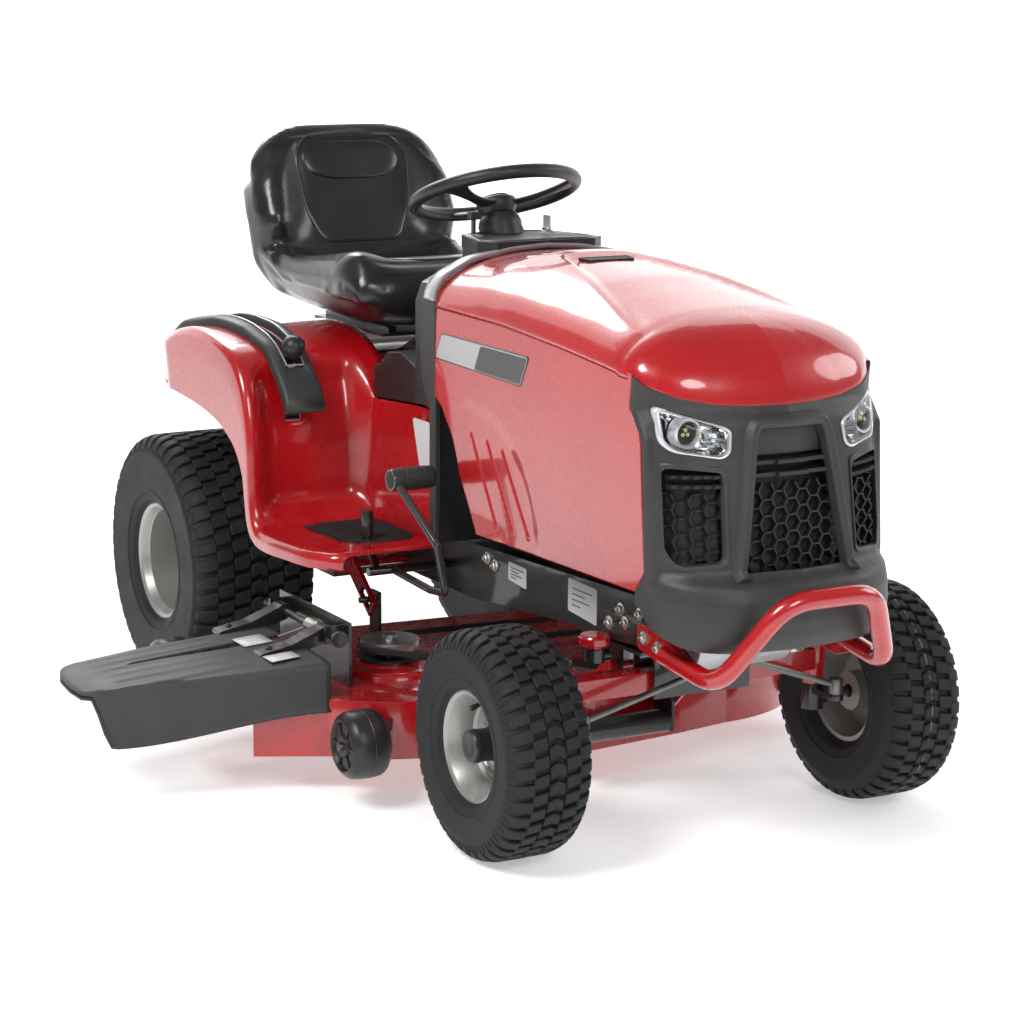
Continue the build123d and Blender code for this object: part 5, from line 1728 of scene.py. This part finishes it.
        Shape().lathe(stem, at, (self.side, -0.3 * math.cos(a), -0.3 * math.sin(a)), 16).build(
            f"valve_{self.tag}", Kit.plastic, self.body, edges=Edges(sharp=40))

    def make(self) -> None:
        """Builds the whole wheel."""
        self.carcass()
        self.blocks()
        self.ribs()
        self.rim()


# ---- cutting deck ----
@dataclass(frozen=True)
class Deck:
    """The cutting deck, its gauge wheels and discharge deflector."""

    body: str = "deck"
    hinge: Point = (-430, 262)
    edge: Line = ((-470, -199), (-600, -166), (-740, -130), (-862, -99), (-878, -94),
                  (-886, -84), (-887.5, -30), (-880, 40), (-862, 88), (-840, 99), (-700, 115),
                  (-560, 112), (-470, 108))
    gauges: dict[str, Point] = field(default_factory=lambda: {
        "fr": (-459, -296, 114), "rr": (-541, 372, 100), "fl": (545, -264, 114),
        "rl": (541, 372, 100)})

    def deflector(self) -> None:
        """Builds the flared deflector with its embossed ribs."""
        path = even(self.edge, 96)
        spine = np.array([[-470 + (p[0] + 470) * 0.72, 4 + 0.10 * p[1]] for p in path])
        rows = []
        for (x, y), (sx, sy) in zip(path, spine):
            row = []
            for t in np.linspace(0, 0.965, 26):
                px, py = sx + (x - sx) * t, sy + (y - sy) * t
                top = 241 + (px + 470) * 0.068 - 7 * t ** 5
                emboss = 0.0
                for rib in (-130, -88, -46, -4, 38, 80):
                    emboss += 2.4 * (1 - step(abs(py - rib * (1 + (px + 470) / 2400)), 3, 9))
                row.append((px, py, top + emboss * step(-px, 580, 610) * (1 - step(-px, 810, 840))))
            top = 241 + (x + 470) * 0.068
            open_end = max(step(y, -84, -30), step(-x, 836, 874))
            low = 148 - 43 * step(-x, 474, 830)
            low += (top - 15 - low) * open_end
            way = Vector((x - sx, y - sy)).normalized()
            for inset, t in ((0.5, 0.04), (0, 0.12), (2.5, 0.5), (4, 0.9), (1.5, 0.97), (0, 1.0)):
                z = top - 9 + (low - top + 9) * t
                row.append((x - way.x * inset, y - way.y * inset, z))
            rows.append(row)
        Shape().grid(rows).build("deflector_skin", Kit.chute, "chute", ["chute_deflector"],
                                 Edges(thick=4.5, sharp=40))

    def arms(self) -> None:
        """Builds the two arms that carry the deflector on its pin, and their bolts."""
        x, z = self.hinge
        shape = Shape()
        for low, high in ((-100, -66), (84, 118)):
            arm = [(x - 14, z - 11), (x - 14, z + 9), (x - 4, z + 15), (x + 9, z + 13),
                   (x + 14, z), (x + 8, z - 12)]
            wide = [(-561, 228), (-561, 238), (-500, 249)] + arm[1:] + [(-452, 240), (-500, 232)]
            shape.prism(loop_eased(wide, 6, 4), Along.Y, low, high)
            for px in (-492, -536):
                shape.bolt((px, (low + high) / 2, 240), (0, 0, 1), 6)
        shape.build("deflector_arms", Kit.black, "chute", edges=Edges(bevel=1.2))

    def spring(self) -> None:
        """Builds the coil spring round the hinge pin, with its two legs."""
        x, z = self.hinge
        coil = Shape()
        turns = []
        for a in np.linspace(0, 9 * 2 * math.pi, 9 * 14):
            turns.append((x + 11.5 * math.cos(a), -60 + a * 0.72, z + 11.5 * math.sin(a)))
        tail = [(x - 60, -60 + a * 0.72, 246)]
        coil.pipe([(x - 50, -60, 249)] + turns + tail, 1.7, sides=8)
        coil.build("deflector_spring", Kit.zinc, "chute")

    def films(self) -> None:
        """Builds the two blank labels on the deflector."""
        film = Shape()
        for x0, y0, x1, y1 in ((-560, -150, -505, -108), (-560, -30, -505, 30)):
            rows = [[(px, py, 243.4 + (px + 470) * 0.068) for py in np.linspace(y0, y1, 4)]
                    for px in np.linspace(x0, x1, 4)]
            film.grid(rows)
        film.build("deflector_labels", Kit.label, "chute", edges=Edges(thick=0.6))

    def rolls(self) -> None:
        """Builds the gauge wheels with their hub recesses and nuts."""
        names = {"fr": "front_right", "rr": "rear_right", "fl": "front_left", "rl": "rear_left"}
        for key, (x, y, z) in self.gauges.items():
            side = int(math.copysign(1, x))
            tread = [(-36.6, 0), (-36.6, 18), (-31, 20), (-30, 40), (-36, 43), (-37, 46),
                     (-30, 55), (-24, 58.2), (-12, 59.6), (-1.6, 59.8), (0, 58.6), (1.6, 59.8),
                     (12, 59.6), (24, 58.2), (30, 55), (37, 46), (36, 43), (30, 40), (31, 20),
                     (36.6, 18), (36.6, 0)]
            shape = Shape().lathe(tread, (x, y, z), (side, 0, 0), 56)
            for k in range(6):
                a = math.pi * k / 3
                way = Vector((0, math.cos(a), math.sin(a)))
                for face in (-1, 1):
                    ends = [Vector((x + face * 30, y, z)) + way * r for r in (19, 41)]
                    shape.sweep(ends, [(-2, -1), (2, -1), (1.4, 4), (-1.4, 4)],
                                up=(face, 0, 0))
            shape.build("gauge_roll_" + key, Kit.plastic, "gauge_" + key,
                        ["gauge_wheel_" + names[key]], Edges(sharp=34))

    def make(self) -> None:
        """Builds and dresses the whole deck."""
        self.deflector()
        self.arms()
        self.spring()
        self.films()
        self.rolls()
        dress("deck_shell", Kit.red, 1.6)
        dress("deck_fittings", Kit.black, 1.0)
        dress("deck_belt", Kit.belt, 0.6)
        for node in ("cutter_right", "cutter_left"):
            dress(node, Kit.steel, 0.6)


# ---- controls and running gear ----
@dataclass(frozen=True)
class Controls:
    """Pedals, lift linkage, front axle and the seat's frame."""

    pad: Point = (290, -156, 528)

    def pedals(self) -> None:
        """Builds the pedals' grips and dresses their rods."""
        dress("drive_pedal", Kit.black, 0.8)
        dress("brake_pedal", Kit.black, 0.8)
        grip = [(-42, 0), (-42, 14), (-40, 18), (-36, 20), (-20, 20.6), (-19, 19.8), (-17, 19.8),
                (-16, 20.6), (16, 20.6), (17, 19.8), (19, 19.8), (20, 20.6), (36, 20), (40, 18),
                (42, 14), (42, 0)]
        Shape().lathe(grip, (-293, -156, 540), (1, 0, 0), 36).build(
            "drive_pedal_grip", Kit.pad, "drive_pedals", edges=Edges(sharp=30))
        place = Matrix.Translation(self.pad) @ Matrix.Rotation(math.radians(35), 4, "X")
        shape = Shape().prism(loop_eased([(-47, -31), (47, -31), (47, 31), (-47, 31)], 9),
                              Along.Z, 5.6, 9)
        for k in range(7):
            y = -25 + k * 7.6
            shape.prism([(y, 9), (y + 1, 11), (y + 3.4, 11), (y + 4.4, 9)], Along.X, -41, 41)
        shape.turned(place).build("brake_pedal_rubber", Kit.pad, "brake",
                                  edges=Edges(bevel=0.4))

    def linkage(self) -> None:
        """Dresses the lift linkage, the axle and its knuckles, and the seat's frame."""
        dress("lift_lever", Kit.black, 0.8)
        knob = [(-24, 9), (-20, 15), (-10, 20), (2, 22.3), (12, 20), (19, 13), (22.6, 0)]
        Shape().lathe(knob, (-330, 262, 722), (0, -0.6, 0.8), 36).build(
            "lever_knob", Kit.plastic, "lever")
        for node in ("lift_arms", "front_lift_link", "front_axle"):
            dress(node, Kit.red, 1.2)
        for node in ("knuckle_right", "knuckle_left", "seat_base"):
            dress(node, Kit.black, 1.0)
        springs = Shape()
        for x in (-96, 96):
            line = []
            for a in np.linspace(0, 5 * 2 * math.pi, 80):
                line.append((x + 17 * math.cos(a), 540 + 17 * math.sin(a), 697 + a * 0.89))
            springs.pipe(line, 2.2, sides=8)
        springs.build("seat_springs", Kit.zinc, "seat_frame")

    def make(self) -> None:
        """Builds and dresses the controls."""
        self.pedals()
        self.linkage()


# ---- stage ----
@dataclass(frozen=True)
class Lamp:
    """One soft round light, its place, aim and size in metres."""

    name: str
    at: Point
    aim: Point
    size: float
    watts: float

    def make(self) -> None:
        """Hangs the light."""
        data = bpy.data.lights.new(self.name, "AREA")
        data.shape, data.size, data.energy = "DISK", self.size, self.watts
        light = placed(self.name, data)
        light.location = self.at
        way = Vector(self.aim) - Vector(self.at)
        light.rotation_euler = way.to_track_quat("-Z", "Y").to_euler()


@dataclass(frozen=True)
class Stage:
    """The floor, the backdrop, the soft lights and the camera.

    Attributes:
        eye: the camera's place in millimetres; its turn, dip and roll are degrees.
        lens: its focal length in millimetres.
        wide: half the floor's width in metres.
        far: how far behind the machine the backdrop stands, in metres.
        tall: how high it is, and reach how far it goes to either side.
        sky: strength of the light from all round.
    """

    eye: Point = (-2357, -4285, 1426)
    turn: float = 28.77
    dip: float = 11.58
    roll: float = 0.41
    lens: float = 93.87
    wide: float = 30.0
    far: float = 9.0
    tall: float = 12.0
    reach: float = 14.0
    sky: float = 0.22
    lamps: tuple[Lamp, ...] = (
        Lamp("key", (-3.0, -1.2, 3.8), (0.1, 0, 0.5), 1.9, 140),
        Lamp("front", (-0.4, -4.4, 2.9), (0.1, -0.4, 0.4), 1.6, 58),
        Lamp("side", (4.0, -1.6, 2.4), (0.1, 0, 0.5), 2.2, 50),
        Lamp("rear", (0.4, 3.6, 3.4), (0.1, 0.2, 0.6), 2.2, 90))

    def camera(self) -> None:
        """Places the camera to look at the machine's front right corner."""
        a, e, r = (math.radians(v) for v in (self.turn, self.dip, self.roll))
        ahead = Vector((math.sin(a) * math.cos(e), math.cos(a) * math.cos(e), -math.sin(e)))
        right = Vector((math.cos(a), -math.sin(a), 0))
        up = right.cross(ahead)
        x = right * math.cos(r) + up * math.sin(r)
        y = up * math.cos(r) - right * math.sin(r)
        data = bpy.data.cameras.new("camera")
        data.lens, data.sensor_width = self.lens, 36.0
        data.clip_end = 60.0
        camera = placed("camera", data)
        frame = Matrix((x, y, -ahead)).transposed().to_4x4()
        camera.matrix_world = Matrix.Translation(Shape.datum.matrix @ Vector(self.eye)) @ frame
        bpy.context.scene.camera = camera

    def sheet(self, name: str, corners: Line, paper: bpy.types.Material) -> bpy.types.Object:
        """Builds one flat four-cornered sheet of paper, in metres."""
        mesh = bpy.data.meshes.new(name)
        mesh.from_pydata(corners, [], [(0, 1, 2, 3)])
        mesh.materials.append(paper)
        return placed(name, mesh)

    def floor(self) -> bpy.types.Object:
        """Builds the pale floor."""
        graph = Graph("floor_paper")
        speck = graph.ramp(graph.noise(3, 3), 0.3, 0.7)
        paper = graph.surface(
            base_color=graph.blend(speck, (0.94, 0.94, 0.94, 1), (0.96, 0.96, 0.96, 1)),
            roughness=0.9, specular_ior_level=0.1, emission_color=(1, 1, 1, 1),
            emission_strength=0.42)
        w = self.wide
        return self.sheet("floor", [(-w, -w, 0), (w, -w, 0), (w, w, 0), (-w, w, 0)], paper)

    def backdrop(self) -> bpy.types.Object:
        """Builds the bright backdrop, square to the camera's view."""
        turn = math.radians(self.turn)
        ahead = Vector((math.sin(turn), math.cos(turn))) * self.far
        right = Vector((math.cos(turn), -math.sin(turn))) * self.reach
        paper = Graph("backdrop_paper").surface(
            base_color=(0.9, 0.9, 0.9, 1), roughness=1.0, emission_color=(1, 1, 1, 1),
            emission_strength=1.0)
        near, far = ahead - right, ahead + right
        return self.sheet("backdrop", [(*near, -1), (*far, -1), (*far, self.tall),
                                       (*near, self.tall)], paper)

    def make(self) -> None:
        """Builds the floor, backdrop, world, lights and camera."""
        self.floor()
        self.backdrop()
        world = bpy.data.worlds.new("studio")
        world.use_nodes = True
        light = world.node_tree.nodes["Background"].inputs
        light["Color"].default_value = (1, 1, 1, 1)
        light["Strength"].default_value = self.sky
        bpy.context.scene.world = world
        for lamp in self.lamps:
            lamp.make()
        self.camera()
        bpy.context.scene.view_settings.view_transform = "Standard"


def main() -> None:
    """Builds the machine piece by piece, then the stage."""
    logging.basicConfig(level=logging.INFO, format="%(message)s")
    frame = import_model()
    LOG.info("frame %s", type(frame).__name__)
    Shape.datum = Datum.read()
    front = ((-54, 14), (-29, 13), (0, 14), (29, 13), (54, 14))
    rear = ((-104, 18), (-69, 16), (-35, 16), (0, 17), (35, 16), (69, 16), (104, 18))
    parts: list[Any] = [Hood(), Grille(), Chassis(), Dash(), FenderPan(), Seat(), Deck(),
                        Controls()]
    for name in SIDES:
        parts.append(Wheel("front", name, middle=363, y=-623, radius=190.5, width=152, bead=90,
                           pitches=40, rows=front))
        parts.append(Wheel("rear", name, middle=356, y=623, radius=254, width=254, bead=114,
                           pitches=46, rows=rear))
    for part in parts:
        LOG.info("== %s", type(part).__name__)
        part.make()
    Stage().make()


if __name__ == "__main__":
    main()
